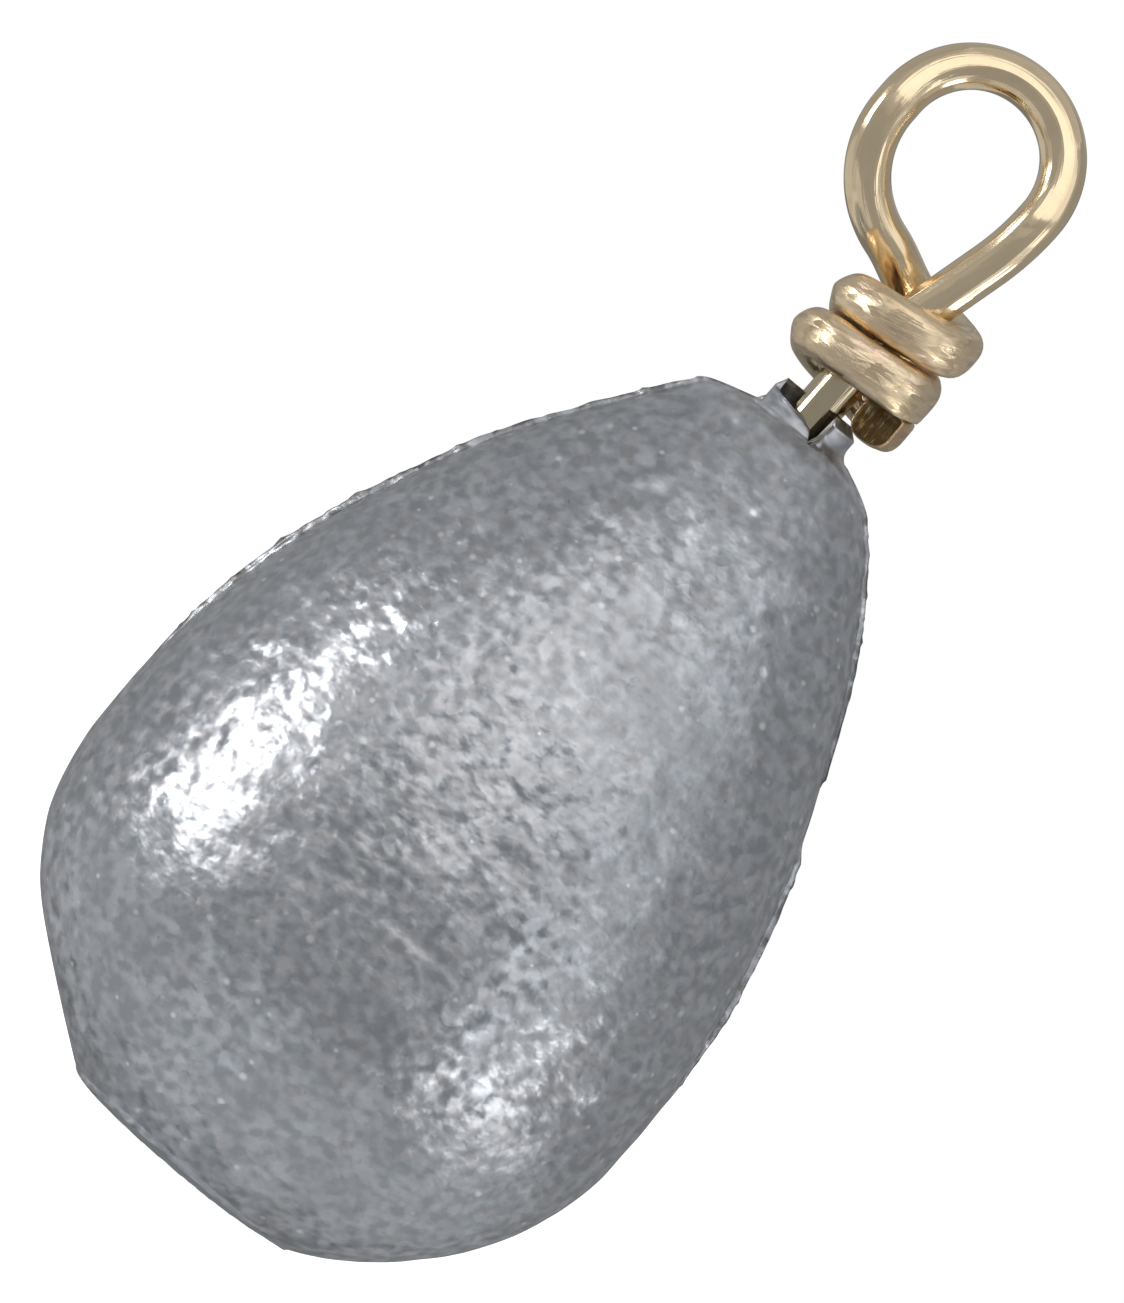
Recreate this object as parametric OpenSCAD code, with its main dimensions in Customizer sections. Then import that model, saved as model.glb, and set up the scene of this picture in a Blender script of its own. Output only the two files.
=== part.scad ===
// Pear-shaped casting sinker: a lead casting that holds a freely turning brass wire eye.
// +Z runs up the sinker's axis. It stands on its flat base at z = 0, and the mould's
// parting plane and the wire's loop both lie in the XZ plane.

/* [Lead body] */
// Greatest diameter of the lead
body_d = 15; // [12:0.02:18]
// Diameter of the flat base, where the sprue was cut off
base_d = 5.3; // [3.6:0.1:8]
// Height at which the belly reaches the greatest diameter
belly_z = 6.3; // [4:0.1:9]
// Height of the widest band, above the belly
band_h = 0.7; // [0.2:0.1:3]
// Height of the shoulder's upper edge
shoulder_z = 20.7; // [17:0.1:25]
// Diameter of the shoulder's upper edge
shoulder_d = 4.6; // [4:0.1:7]
// Rise of the crown, from the shoulder's edge to the neck
crown_h = 0.6; // [0.3:0.05:1.2]
// How far the parting flash stands proud of the shoulder
flash_h = 0.18; // [0.05:0.01:0.3]
// Thickness of the parting flash
flash_t = 0.3; // [0.1:0.02:0.5]
// Height over which the flash grows from nothing, above the widest band
flash_run = 4; // [1:0.5:8]

/* [Neck] */
// Outer diameter of the collar round the shank
neck_d = 2.16; // [1.9:0.02:2.6]
// Height of the collar's outer edge above the crown
collar_h = 0.53; // [0.3:0.01:1.2]
// How much higher the collar's inner edge stands
collar_lip = 0.22; // [0.05:0.01:0.3]
// Radius between the crown and the collar
neck_fillet = 0.2; // [0.05:0.01:0.3]
// Wall of the collar round the open moat
collar_wall = 0.25; // [0.12:0.01:0.3]
// Depth of the moat below the collar's outer edge
moat_depth = 0.8; // [0.3:0.05:1.5]
// Depth of the window that is broken out of the collar's front, below its outer edge
window_depth = 0.47; // [0.1:0.01:0.8]
// Angle that the window spans
window_span = 107; // [40:1:120]
// Direction of the window's middle, from +X round to +Y
window_azimuth = -116; // [-140:1:-70]

/* [Wire] */
// Diameter of the brass wire
wire_d = 1.06; // [0.9:0.02:1.2]
// Radial running clearance of the shank in its bore
shank_gap = 0.04; // [0.02:0.01:0.08]
// Length of the shank below the collar's outer edge
shank_depth = 6.3; // [4:0.1:10]
// Diameter of the upset head that keeps the shank in the lead
head_d = 2; // [1.6:0.05:3]
// Thickness of the upset head
head_t = 0.6; // [0.4:0.05:1]
// Clearance of the head in its pocket, all round
head_gap = 0.05; // [0.03:0.01:0.1]

/* [Loop] */
// Lean of the loop's right leg off the axis
leg_lean = 14; // [6:0.5:20]
// Bend radius at the leg's foot
leg_bend_r = 1.6; // [1:0.1:3]
// Depth of the leg's bend below the top of the wraps
leg_bend_drop = 1.2; // [0.6:0.05:1.6]
// Length of the leg's straight part
leg_l = 2.9; // [1.8:0.05:5]
// Radius on which the leg straightens up again
leg_top_r = 6.4; // [3:0.1:9]
// Radius of the loop's upper half, to the wire's middle
loop_r = 2.02; // [1.7:0.02:2.6]
// Straight run down the loop's left side
loop_side = 0.25; // [0.05:0.05:1]
// Radius of the loop's lower left, to the wire's middle
close_r = 2.4; // [1.9:0.05:2.7]
// Angle through which the loop's lower left turns
close_turn = 75; // [60:1:80]

/* [Wraps] */
// Turns of wire round the shank, from the right side
wrap_turns = 2.08; // [1.63:0.05:2.28]
// Rise of the first turn, if it kept its slope
first_pitch = 1.36; // [1.34:0.01:1.7]
// Rise of the last turn, if it kept its slope
last_pitch = 1.06; // [1.02:0.01:1.3]
// Clearance between the first turn and the leg inside it
wrap_gap = 0.08; // [0.06:0.01:0.2]
// How far the later turns spring out from the first
wrap_spring = 0.16; // [0:0.01:0.3]
// How far the later turns sit off the axis, towards the right
wrap_shift = 0.08; // [0:0.01:0.1]
// Clearance between the wire's tail and the collar
tail_gap = 0.05; // [0.04:0.01:0.3]

/* [Hidden] */
$fn = 64;

// Curve exponents of the belly and the shoulder, which have no unit
belly_rise_power = 2;
belly_round_power = 1.4;
shoulder_rise_power = 1.9;
shoulder_round_power = 1.25;
crown_power = 1.38;

// Facets of the curves
belly_steps = 14;
shoulder_steps = 22;
crown_steps = 5;
fillet_steps = 4;
wire_sides = 16;
bend_steps = 4;
leg_top_steps = 4;
loop_steps = 22;
close_steps = 9;
cross_steps = 7;
wrap_steps = 24;

// The bent wire is faceted, and its flats stand just outside the round wire's surface
facet_share = 1.005;
wire_r = wire_d / 2;
facet_r = wire_r * facet_share / cos(180 / wire_sides);
shank_overlap = wire_d / 4;

// Heights that stack up from the base
body_r = body_d / 2;
base_r = base_d / 2;
band_z = belly_z + band_h;
shoulder_r = shoulder_d / 2;
crown_z = shoulder_z + crown_h;
collar_z = crown_z + collar_h;
neck_r = neck_d / 2;
moat_r = neck_r - collar_wall;
lip_z = collar_z + collar_lip;
moat_z = collar_z - moat_depth;
bore_r = wire_r + shank_gap;
cut_overrun = collar_h / 4;

// The fillet meets the crown where it has turned through this angle
fillet_turn = 70;
neck_foot_r = neck_r + neck_fillet * (1 - cos(fillet_turn));

// Shank, head and the pocket round the head
head_r = head_d / 2;
head_z = collar_z - shank_depth;
head_round = head_t / 3;
head_round_steps = 4;

// Rise over which each curve would close on the axis
function closing_rise(h, end_share, rise_power, round_power) =
    h / pow(1 - pow(end_share, round_power), 1 / rise_power);
belly_rise = closing_rise(belly_z, base_r / body_r, belly_rise_power, belly_round_power);
shoulder_rise = closing_rise(shoulder_z - band_z, shoulder_r / body_r,
    shoulder_rise_power, shoulder_round_power);

// Radius of a curve at a share of its closing rise
function curve_r(share, rise_power, round_power) =
    body_r * pow(1 - pow(share, rise_power), 1 / round_power);

// The outer outline, as [radius, height], from the base up to the collar's rim
function belly_points() = [
    for (i = [0 : belly_steps])
        let (h = belly_z * (1 - i / belly_steps))
        [curve_r(h / belly_rise, belly_rise_power, belly_round_power), belly_z - h]
];
function shoulder_points() = [
    for (i = [0 : shoulder_steps])
        let (h = (shoulder_z - band_z) * i / shoulder_steps)
        [curve_r(h / shoulder_rise, shoulder_rise_power, shoulder_round_power), band_z + h]
];
function crown_points() = [
    for (i = [1 : crown_steps])
        let (share = i / crown_steps)
        [shoulder_r - (shoulder_r - neck_foot_r) * pow(share, crown_power),
            shoulder_z + crown_h * share]
];
function fillet_points() = [
    for (i = [1 : fillet_steps])
        let (turn = fillet_turn * (1 - i / fillet_steps))
        [neck_r + neck_fillet * (1 - cos(turn)),
            crown_z + neck_fillet * (sin(fillet_turn) - sin(turn))]
];

// A share that starts and ends gently
function eased(share) = share * share * (3 - 2 * share);

// The lead's inside: moat, running bore, and the pocket round the shank's head
function bore_points() = [
    [neck_r, collar_z],
    [moat_r, lip_z],
    [moat_r, moat_z],
    [bore_r, moat_z],
    [bore_r, head_z + head_t + head_gap],
    [head_r + head_gap, head_z + head_t + head_gap],
    [head_r + head_gap, head_z - head_gap],
    [0, head_z - head_gap]
];

// One side of the parting flash: a thin strip that follows the shoulder and the crown. It
// is rooted in the lead, and stays outside the moat
flash_root = collar_wall / 2;
module flash_side() {
    outline = concat(shoulder_points(), crown_points());
    outer = [
        for (p = outline)
            [p[0] + flash_h * eased(min(1, (p[1] - band_z) / flash_run)), p[1]]
    ];
    inner = [for (i = [len(outline) - 1 : -1 : 0]) [outline[i][0] - flash_root, outline[i][1]]];
    rotate([90, 0, 0])
        linear_extrude(flash_t, center = true)
            polygon(concat(outer, inner));
}

// The gap that is broken out of the collar's front wall
module collar_window() {
    half = window_span / 2;
    reach = neck_r + neck_fillet;
    translate([0, 0, collar_z - window_depth])
        rotate([0, 0, window_azimuth])
            linear_extrude(window_depth + collar_lip + cut_overrun)
                polygon([[0, 0], [reach, -reach * tan(half)], [reach, reach * tan(half)]]);
}

module lead_body() {
    color("slategray")
        difference() {
            union() {
                rotate_extrude($fn = 128)
                    polygon(concat([[0, 0]], belly_points(), shoulder_points(),
                        crown_points(), fillet_points(), bore_points()));
                flash_side();
                mirror([1, 0, 0])
                    flash_side();
            }
            collar_window();
        }
}

// Wraps: the wire goes down round the shank. A turn count of 0 is at its right side, and
// the wraps start a quarter turn before it, behind the shank, where the slope is gentler.
wrap_start = -0.25;
start_slope_share = 0.25;
wrap_r = wire_d + wrap_gap;
tail_r = wrap_r + wrap_spring;
pitch_ease = (first_pitch - last_pitch) / (2 * wrap_turns);
start_ease = first_pitch * (1 - start_slope_share) / (2 * wrap_start);
function wrap_drop(turns) =
    first_pitch * turns - (turns < 0 ? start_ease : pitch_ease) * turns * turns;
// The tail's round underside clears the whole of the collar's sloping rim in a full turn
tail_x = wrap_shift + tail_r * cos(360 * wrap_turns);
tail_y = tail_r * sin(360 * wrap_turns);
tail_z = max([
    for (share = [0 : 0.25 : 1])
        let (aside = norm([tail_x, tail_y]) - neck_r + collar_wall * share)
        collar_z + collar_lip * share + sqrt(max(0, pow(facet_r + tail_gap, 2) - pow(aside, 2)))
]);
wrap_top_z = tail_z + wrap_drop(wrap_turns);
bend_z = wrap_top_z - leg_bend_drop;

// The wraps hug the leaning leg, so their middle follows it
function leg_x(z) = max(0, z - bend_z) * tan(leg_lean);
function wrap_point(turns) =
    let (z = wrap_top_z - wrap_drop(turns))
    let (settled = eased(min(1, max(0, turns))))
    let (r = wrap_r + wrap_spring * settled)
    [leg_x(z) + wrap_shift * settled + r * cos(-360 * turns), r * sin(-360 * turns), z];
wrap_count = ceil((wrap_turns - wrap_start) * wrap_steps);
function wrap_path() = [
    for (i = [0 : wrap_count])
        wrap_point(wrap_start + (wrap_turns - wrap_start) * i / wrap_count)
];

// The loop's stretches, as [x, z] in its own plane
bend_foot_z = bend_z - leg_bend_r * tan(leg_lean / 2);
join_z = bend_foot_z - wire_d;
bend_points = [
    for (i = [0 : bend_steps])
        let (a = leg_lean * i / bend_steps)
        [leg_bend_r * (1 - cos(a)), bend_foot_z + leg_bend_r * sin(a)]
];
leg_top = bend_points[bend_steps] + leg_l * [sin(leg_lean), cos(leg_lean)];
leg_top_middle = leg_top + leg_top_r * [-cos(leg_lean), sin(leg_lean)];
leg_top_points = [
    for (i = [0 : leg_top_steps])
        let (a = -leg_lean * (1 - i / leg_top_steps))
        leg_top_middle + leg_top_r * [cos(a), sin(a)]
];
loop_middle = leg_top_middle + [leg_top_r - loop_r, 0];
loop_points = [
    for (i = [1 : loop_steps])
        let (a = 180 * i / loop_steps)
        loop_middle + loop_r * [cos(a), sin(a)]
];
close_middle = loop_middle + [close_r - loop_r, -loop_side];
close_points = [
    for (i = [0 : close_steps])
        let (a = 180 + close_turn * i / close_steps)
        close_middle + close_r * [cos(a), sin(a)]
];

// The wire crosses behind the leg on a curve that leaves one stretch and enters the next
function curve_point(a, b, c, d, t) =
    pow(1 - t, 3) * a + 3 * t * pow(1 - t, 2) * b + 3 * t * t * (1 - t) * c + pow(t, 3) * d;
cross_from = close_points[close_steps];
cross_to = [wrap_point(wrap_start)[0], wrap_point(wrap_start)[2]];
cross_handle = norm(cross_to - cross_from) / 3;
cross_out = cross_from + cross_handle * [cos(close_turn - 90), sin(close_turn - 90)];
// The first turn's slope, seen from the front
wrap_slope = atan(start_slope_share * first_pitch / (2 * PI * wrap_r));
cross_in = cross_to - cross_handle * [cos(wrap_slope), -sin(wrap_slope)];
cross_points = [
    for (i = [1 : cross_steps - 1])
        curve_point(cross_from, cross_out, cross_in, cross_to, i / cross_steps)
];

// From the loop's top on, the wire moves back until it lies behind the shank
function run_length(points) =
    [for (i = 0, l = 0; i < len(points); i = i + 1,
        l = i < len(points) ? l + norm(points[i] - points[i - 1]) : l) l];
leg_run = concat([[0, join_z]], bend_points, leg_top_points);
rise_count = floor(loop_steps / 2);
rise_run = [for (i = [0 : rise_count - 1]) loop_points[i]];
back_run = concat([for (i = [rise_count : loop_steps - 1]) loop_points[i]],
    close_points, cross_points);
back_length = run_length(concat(back_run, [cross_to]));
back_total = back_length[len(back_length) - 1];
wire_path = concat(
    [for (p = concat(leg_run, rise_run)) [p[0], 0, p[1]]],
    [for (i = [0 : len(back_run) - 1])
        [back_run[i][0], wrap_r * eased(back_length[i] / back_total), back_run[i][1]]],
    wrap_path()
);

// A tube of constant section, swept along a path without twisting
function unit(v) = v / norm(v);
function headings(path) = [
    for (i = [0 : len(path) - 1])
        unit(path[min(i + 1, len(path) - 1)] - path[max(i - 1, 0)])
];
function across(v, heading) = unit(v - (v * heading) * heading);
function normals(ways) =
    [for (i = 0, n = across([0, 1, 0], ways[0]); i < len(ways); i = i + 1,
        n = i < len(ways) ? across(n, ways[i]) : n) n];

module tube(path, r, sides) {
    ways = headings(path);
    firsts = normals(ways);
    points = [
        for (i = [0 : len(path) - 1], k = [0 : sides - 1])
            let (a = 360 * (k + 0.5) / sides)
            path[i] + r * (cos(a) * firsts[i] + sin(a) * cross(ways[i], firsts[i]))
    ];
    last = (len(path) - 1) * sides;
    walls = [
        for (i = [0 : len(path) - 2], k = [0 : sides - 1], half = [0, 1])
            let (a = i * sides + k, b = i * sides + (k + 1) % sides)
            half == 0 ? [a, b + sides, b] : [a, a + sides, b + sides]
    ];
    foot = [for (k = [0 : sides - 1]) k];
    end = [for (k = [sides - 1 : -1 : 0]) last + k];
    polyhedron(concat(points), concat(walls, [foot], [end]), convexity = 6);
}

// The shank's upset head, a round button with softened edges
module shank_head() {
    flat_r = head_r - head_round;
    upper = [
        for (i = [0 : head_round_steps])
            let (a = 90 * i / head_round_steps)
            [flat_r + head_round * cos(a), head_t - head_round + head_round * sin(a)]
    ];
    lower = [
        for (i = [0 : head_round_steps])
            let (a = 90 * i / head_round_steps)
            [flat_r + head_round * sin(a), head_round - head_round * cos(a)]
    ];
    translate([0, 0, head_z])
        rotate_extrude()
            polygon(concat([[0, 0]], lower, upper, [[0, head_t]]));
}

module swivel_eye() {
    color("darkkhaki")
        union() {
            shank_head();
            translate([0, 0, head_z + head_t / 2])
                cylinder(h = join_z + shank_overlap - head_z - head_t / 2, r = wire_r);
            tube(wire_path, facet_r, wire_sides);
        }
}

// Least gap between stretches of the wire that are half a turn's points or more apart
apart = floor(wrap_steps / 2);
wire_gaps = [
    for (i = [0 : len(wire_path) - 1 - apart], j = [i + apart : len(wire_path) - 1])
        norm(wire_path[i] - wire_path[j]) - 2 * facet_r
];
shank_line_gaps = [
    for (p = wrap_path())
        if (p[2] < bend_z) norm([p[0], p[1]]) - facet_r - wire_r
];
echo(least_wire_gap = min(wire_gaps), least_shank_gap = min(shank_line_gaps));

lead_body();
swivel_eye();
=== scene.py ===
import math

import bmesh
import bpy
import numpy as np
from mathutils import Matrix, Vector, noise


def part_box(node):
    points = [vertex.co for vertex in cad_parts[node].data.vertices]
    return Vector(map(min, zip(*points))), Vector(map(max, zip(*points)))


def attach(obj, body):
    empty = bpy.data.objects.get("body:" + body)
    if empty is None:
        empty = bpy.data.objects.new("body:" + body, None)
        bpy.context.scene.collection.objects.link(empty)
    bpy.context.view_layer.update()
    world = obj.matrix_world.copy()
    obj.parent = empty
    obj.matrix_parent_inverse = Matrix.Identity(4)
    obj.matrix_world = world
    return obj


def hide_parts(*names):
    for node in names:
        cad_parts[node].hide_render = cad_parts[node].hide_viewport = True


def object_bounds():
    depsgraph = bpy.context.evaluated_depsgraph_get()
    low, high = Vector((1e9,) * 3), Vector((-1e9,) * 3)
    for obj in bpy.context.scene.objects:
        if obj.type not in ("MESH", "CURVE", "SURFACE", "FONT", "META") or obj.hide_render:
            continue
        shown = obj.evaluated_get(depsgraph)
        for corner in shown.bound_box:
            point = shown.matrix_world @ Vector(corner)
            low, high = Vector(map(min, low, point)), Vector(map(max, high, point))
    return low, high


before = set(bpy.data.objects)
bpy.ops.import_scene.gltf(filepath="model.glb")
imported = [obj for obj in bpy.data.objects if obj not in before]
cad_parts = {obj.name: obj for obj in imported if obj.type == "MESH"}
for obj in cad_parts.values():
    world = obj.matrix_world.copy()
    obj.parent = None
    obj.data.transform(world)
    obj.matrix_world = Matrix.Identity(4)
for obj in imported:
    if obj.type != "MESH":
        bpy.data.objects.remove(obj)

bl_info = {
    "name": "Casting Sinker",
    "version": (1, 0, 0),
    "blender": (4, 5, 0),
    "location": "3D View > Sidebar > Sinker",
    "description": "Cast lead sinker with a wire eye that turns in it, built round its packed frame",
    "category": "Add Mesh",
}

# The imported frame, before any piece is made
CAD_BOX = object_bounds()
LEAD_LOW, LEAD_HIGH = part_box("lead_body")
EYE_LOW, EYE_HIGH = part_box("swivel_eye")

MM = 0.001


# Kinds of property

def length(name, text, millimetres):
    return bpy.props.FloatProperty(
        name=name, description=text, default=millimetres * MM, min=0, unit="LENGTH", precision=5)


def angle(name, text, degrees):
    return bpy.props.FloatProperty(
        name=name, description=text, default=math.radians(degrees), unit="ROTATION")


def ratio(name, text, value):
    return bpy.props.FloatProperty(name=name, description=text, default=value, min=0, precision=3)


def count(name, text, value):
    return bpy.props.IntProperty(name=name, description=text, default=value, min=3)


def colour(name, text, value):
    return bpy.props.FloatVectorProperty(
        name=name, description=text, default=value, size=3, min=0, max=1, subtype="COLOR")


class CastingSettings(bpy.types.PropertyGroup):
    """Sizes and colours of the lead casting"""
    body_width: length("Body width", "Greatest diameter of the lead",
                       (LEAD_HIGH.y - LEAD_LOW.y) / MM)
    base_width: length("Base width", "Diameter of the cut base", 5.3)
    base_crown: length("Base crown", "How far the cut base's edge lies above its middle", 0.2)
    belly_height: length("Belly height", "Height at which the belly is widest", 6.3)
    band_height: length("Band height", "Height of the widest band", 0.7)
    shoulder_height: length("Shoulder height", "Height of the shoulder's upper edge", 20.7)
    shoulder_width: length("Shoulder width", "Diameter of the shoulder's upper edge", 4.6)
    crown_rise: length("Crown rise", "Height from the shoulder's edge to the neck", 0.6)
    flash_height: length("Flash height", "How far the parting flash stands proud", 0.18)
    flash_width: length("Flash thickness", "Thickness of the parting flash", 0.3)
    flash_run: length("Flash run", "Height over which the flash grows from nothing", 4)
    neck_width: length("Neck width", "Outer diameter of the collar round the shank", 2.16)
    collar_height: length("Collar height", "Height of the collar's outer edge over the crown", 0.53)
    collar_wall: length("Collar wall", "Wall of the collar round the open moat", 0.25)
    neck_fillet: length("Neck fillet", "Mean radius between crown and collar", 0.2)
    fillet_swing: length("Fillet swing", "How much more that radius is on the right", 0.13)
    moat_depth: length("Moat depth", "Depth of the moat below the collar's outer edge", 0.8)
    window_depth: length("Window depth", "Depth of the gap that is broken out of the collar", 0.47)
    window_span: angle("Window span", "Angle that the gap spans", 107)
    window_azimuth: angle("Window azimuth", "Direction of the gap's middle", -116)
    window_slope: length("Window slope", "How much higher the gap's edge is on the left", 0.38)
    crack_depth: length("Crack depth", "Depth of the crack at the gap's right end", 0.28)
    crack_azimuth: angle("Crack azimuth", "Direction of that crack", -73)
    crown_dip: length("Crown dip", "How much lower the crown is on the left", 0.12)
    gap_dip: length("Gap dip", "How much lower the collar's wall starts in the gap", 0.14)
    bore_gap: length("Bore clearance", "Radial clearance of the shank in its bore", 0.04)
    head_gap: length("Pocket clearance", "Clearance of the shank's head in its pocket", 0.05)
    skin_lumps: length("Skin lumps", "Height of the cast skin's broad lumps", 0.034)
    skin_grain: length("Skin grain", "Height of the cast skin's fine grain", 0.006)
    ring_step: length("Ring step", "Distance from one ring of the mesh to the next", 0.128)
    rim_wear: length("Rim wear", "How far the collar's rim is rounded down at the left and back", 0.15)
    columns: count("Columns", "Points round each ring of the mesh", 396)
    lead: colour("Lead", "Clean lead", (0.66, 0.7, 0.75))
    dull_lead: colour("Dull lead", "Lead with its grey bloom", (0.38, 0.415, 0.45))


class WireSettings(bpy.types.PropertyGroup):
    """Sizes and colours of the swivel wire"""
    wire_width: length("Wire width", "Diameter of the wire", 1.06)
    head_width: length("Head width", "Diameter of the upset head", 2)
    head_height: length("Head height", "Thickness of the upset head", 0.6)
    leg_lean: angle("Leg lean", "Lean of the loop's right leg", 14)
    leg_bend: length("Leg bend", "Bend radius at the leg's foot", 1.6)
    leg_drop: length("Bend drop", "Depth of the leg's bend below the top of the wraps", 1.2)
    leg_length: length("Leg length", "Length of the leg's straight part", 2.9)
    leg_top: length("Leg top", "Radius on which the leg straightens up again", 6.4)
    loop_radius: length("Loop radius", "Radius of the loop's upper half", 2.02)
    loop_side: length("Loop side", "Straight run down the loop's left side", 0.25)
    close_radius: length("Closing radius", "Radius of the loop's lower left", 2.4)
    close_turn: angle("Closing turn", "Angle that the loop's lower left turns through", 75)
    wrap_turns: ratio("Turns", "Turns of wire round the shank", 2.08)
    first_pitch: length("First pitch", "Rise of the first turn", 1.36)
    last_pitch: length("Last pitch", "Rise of the last turn", 1.06)
    wrap_gap: length("Wrap gap", "Clearance between the first turn and the leg inside it", 0.08)
    wrap_spring: length("Wrap spring", "How far the later turns spring out", 0.16)
    wrap_shift: length("Wrap shift", "How far the later turns sit to the right", 0.08)
    wrap_width: length("Wrap width", "Most that the wrapping tool spread the wire along the shank", 1.3)
    wrap_thickness: length("Wrap thickness", "Thickness it pressed the wire to", 1.0)
    lean_back: angle("Lean back", "How far the loop's upper half leans away from the camera", 14)
    kink_height: length("Kink height", "Height from which the loop leans back", 28.05)
    behind_lag: length("Behind lag", "How far past its top the loop starts to move behind the leg", 4.0)
    tail_press: length("Tail press", "How far the wire's end is pressed in against the shank", 0.15)
    end_trim: ratio("End trim", "Share of a turn by which the wire was nipped short", 0.01)
    cut_turn: angle("Cut turn", "How far the cut end faces left of the camera", 14)
    point_step: length("Point step", "Distance between points of the path", 0.08)
    sides: count("Sides", "Points round the wire", 44)
    brass: colour("Brass", "Clean drawn brass", (0.93, 0.77, 0.53))
    worn_brass: colour("Worn brass", "Brass where the tools have rubbed and bent it", (0.75, 0.59, 0.39))
    stain: colour("Stain", "Brown stain in the creases", (0.3, 0.17, 0.06))
    rose: colour("Rose", "Reddish tarnish on the wraps", (0.86, 0.62, 0.49))
    olive: colour("Olive", "Greenish tarnish on the wraps", (0.46, 0.42, 0.31))


class StageSettings(bpy.types.PropertyGroup):
    """Camera, lamps and floor"""
    distance: length("Camera distance", "From the camera to the sinker's axis", 600)
    view_height: length("View height", "Height of the picture's middle on the sinker", 14.17)
    view_side: length("View side", "How far the picture's middle lies left of the axis", 0.756)
    frame_height: length("Frame height", "What the picture's height takes in", 28.56)
    roll: angle("Roll", "Turn of the camera about its own view", 41)
    floor: colour("Floor", "Colour of the floor", (0.9, 0.9, 0.9))
    fill: ratio("Fill light", "Strength of the even light from all round", 0.45)
    lamps: ratio("Lamps", "Brightness of the soft lamps", 1.0)
    key: ratio("Left window", "Brightness of the bright window that the metal shows on its left", 9)
    kicker: ratio("Right window", "Brightness of the small window that it shows on its right", 3.4)
    top: ratio("Top window", "Brightness of the broad window that it shows above the camera", 1.25)


# Small tools for shapes

def eased(share):
    """A share from 0 to 1 that starts and ends gently."""
    share = np.clip(share, 0, 1)
    return share * share * (3 - 2 * share)


def bell(distance, width):
    """1 at no distance, and next to nothing past twice the width."""
    return np.exp(-(distance / width) ** 2)


def lumps(points, size, shift):
    """A smooth random value for each point, about -1 to 1, in lumps of about that size."""
    return np.array([noise.noise(Vector(p)) for p in points / size + shift])


def run_of(points):
    """Length along a row of points, up to each of them."""
    return np.concatenate(([0.0], np.cumsum(np.linalg.norm(np.diff(points, axis=0), axis=1))))


def respaced(points, step):
    """The same line, with its points evenly spaced about a step apart."""
    run = run_of(points)
    even = np.linspace(0, run[-1], max(2, round(run[-1] / step) + 1))
    return np.column_stack([np.interp(even, run, line) for line in points.T])


def ramp(value, soft):
    """Nothing below 0 and the value itself above it, with a soft corner between."""
    over = value / soft
    return np.where(over > 20, over, np.log1p(np.exp(np.minimum(over, 20)))) * soft


def new_piece(name, points, faces, materials):
    """A mesh object at the origin, with its place in its mesh."""
    mesh = bpy.data.meshes.new(name)
    mesh.from_pydata(points, [], faces)
    mesh.update()
    piece = bpy.data.objects.new(name, mesh)
    bpy.context.scene.collection.objects.link(piece)
    for material in materials:
        mesh.materials.append(material)
    return piece


def finish_faces(mesh, materials):
    """Shades a mesh smoothly and gives each face the number of its material."""
    mesh.polygons.foreach_set("use_smooth", [True] * len(mesh.polygons))
    mesh.polygons.foreach_set("material_index", materials)
    mesh.update()


# Small tools for nodes

VALUE = "NodeSocketFloat"
VECTOR = "NodeSocketVector"
WHITE = (1.0, 1.0, 1.0, 1.0)


def feed(tree, socket, value):
    """Gives an input its link or its value."""
    if isinstance(value, bpy.types.NodeSocket):
        tree.links.new(value, socket)
    else:
        socket.default_value = value


def add(tree, kind, inputs=None, **settings):
    """Adds one node with its settings, and the value or link of each input that is named."""
    made = tree.nodes.new(kind)
    for name, value in settings.items():
        setattr(made, name, value)
    for name, value in (inputs or {}).items():
        feed(tree, made.inputs[name], value)
    return made


def sums(tree, operation, first, second=0.5, **settings):
    """One step of arithmetic on values."""
    return add(tree, "ShaderNodeMath", {0: first, 1: second}, operation=operation, **settings).outputs[0]


def plus(tree, first, second, **settings):
    return sums(tree, "ADD", first, second, **settings)


def minus(tree, first, second):
    return sums(tree, "SUBTRACT", first, second)


def times(tree, first, second):
    return sums(tree, "MULTIPLY", first, second)


def vectors(tree, operation, first, second=(0, 0, 0)):
    """One step of arithmetic on vectors."""
    return add(tree, "ShaderNodeVectorMath", {0: first, 1: second}, operation=operation).outputs[0]


def scaled(tree, first, factor):
    """A vector times a value."""
    return add(tree, "ShaderNodeVectorMath", {0: first, "Scale": factor}, operation="SCALE").outputs[0]


def in_sizes(tree, place, size, share=1.0):
    """A place counted in sizes, so that a pattern on it has cells of about that size."""
    return scaled(tree, place, sums(tree, "DIVIDE", share, size))


def parts_of(tree, vector):
    """The three parts of a vector or colour."""
    return add(tree, "ShaderNodeSeparateXYZ", {0: vector}).outputs


def noisy(tree, place, detail, scale=1.0, roughness=0.5, distortion=0.0):
    """The outputs of a cloudy pattern."""
    return add(tree, "ShaderNodeTexNoise", {
        "Vector": place, "Scale": scale, "Detail": detail, "Roughness": roughness,
        "Distortion": distortion}).outputs


def celled(tree, place):
    """The outputs of a pattern of cells."""
    return add(tree, "ShaderNodeTexVoronoi", {"Vector": place, "Scale": 1.0}).outputs


def blended(tree, share, first, second):
    """A colour between two others."""
    return add(tree, "ShaderNodeMix", {0: share, 6: first, 7: second}, data_type="RGBA").outputs[2]


def coated(tree, metal, coats):
    """A metal's colour under its coats, each given by a mask, how thickly it lies there, and its colour."""
    for mask, thickness, coat in coats:
        metal = blended(tree, times(tree, mask, thickness), metal, coat)
    return metal


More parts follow.
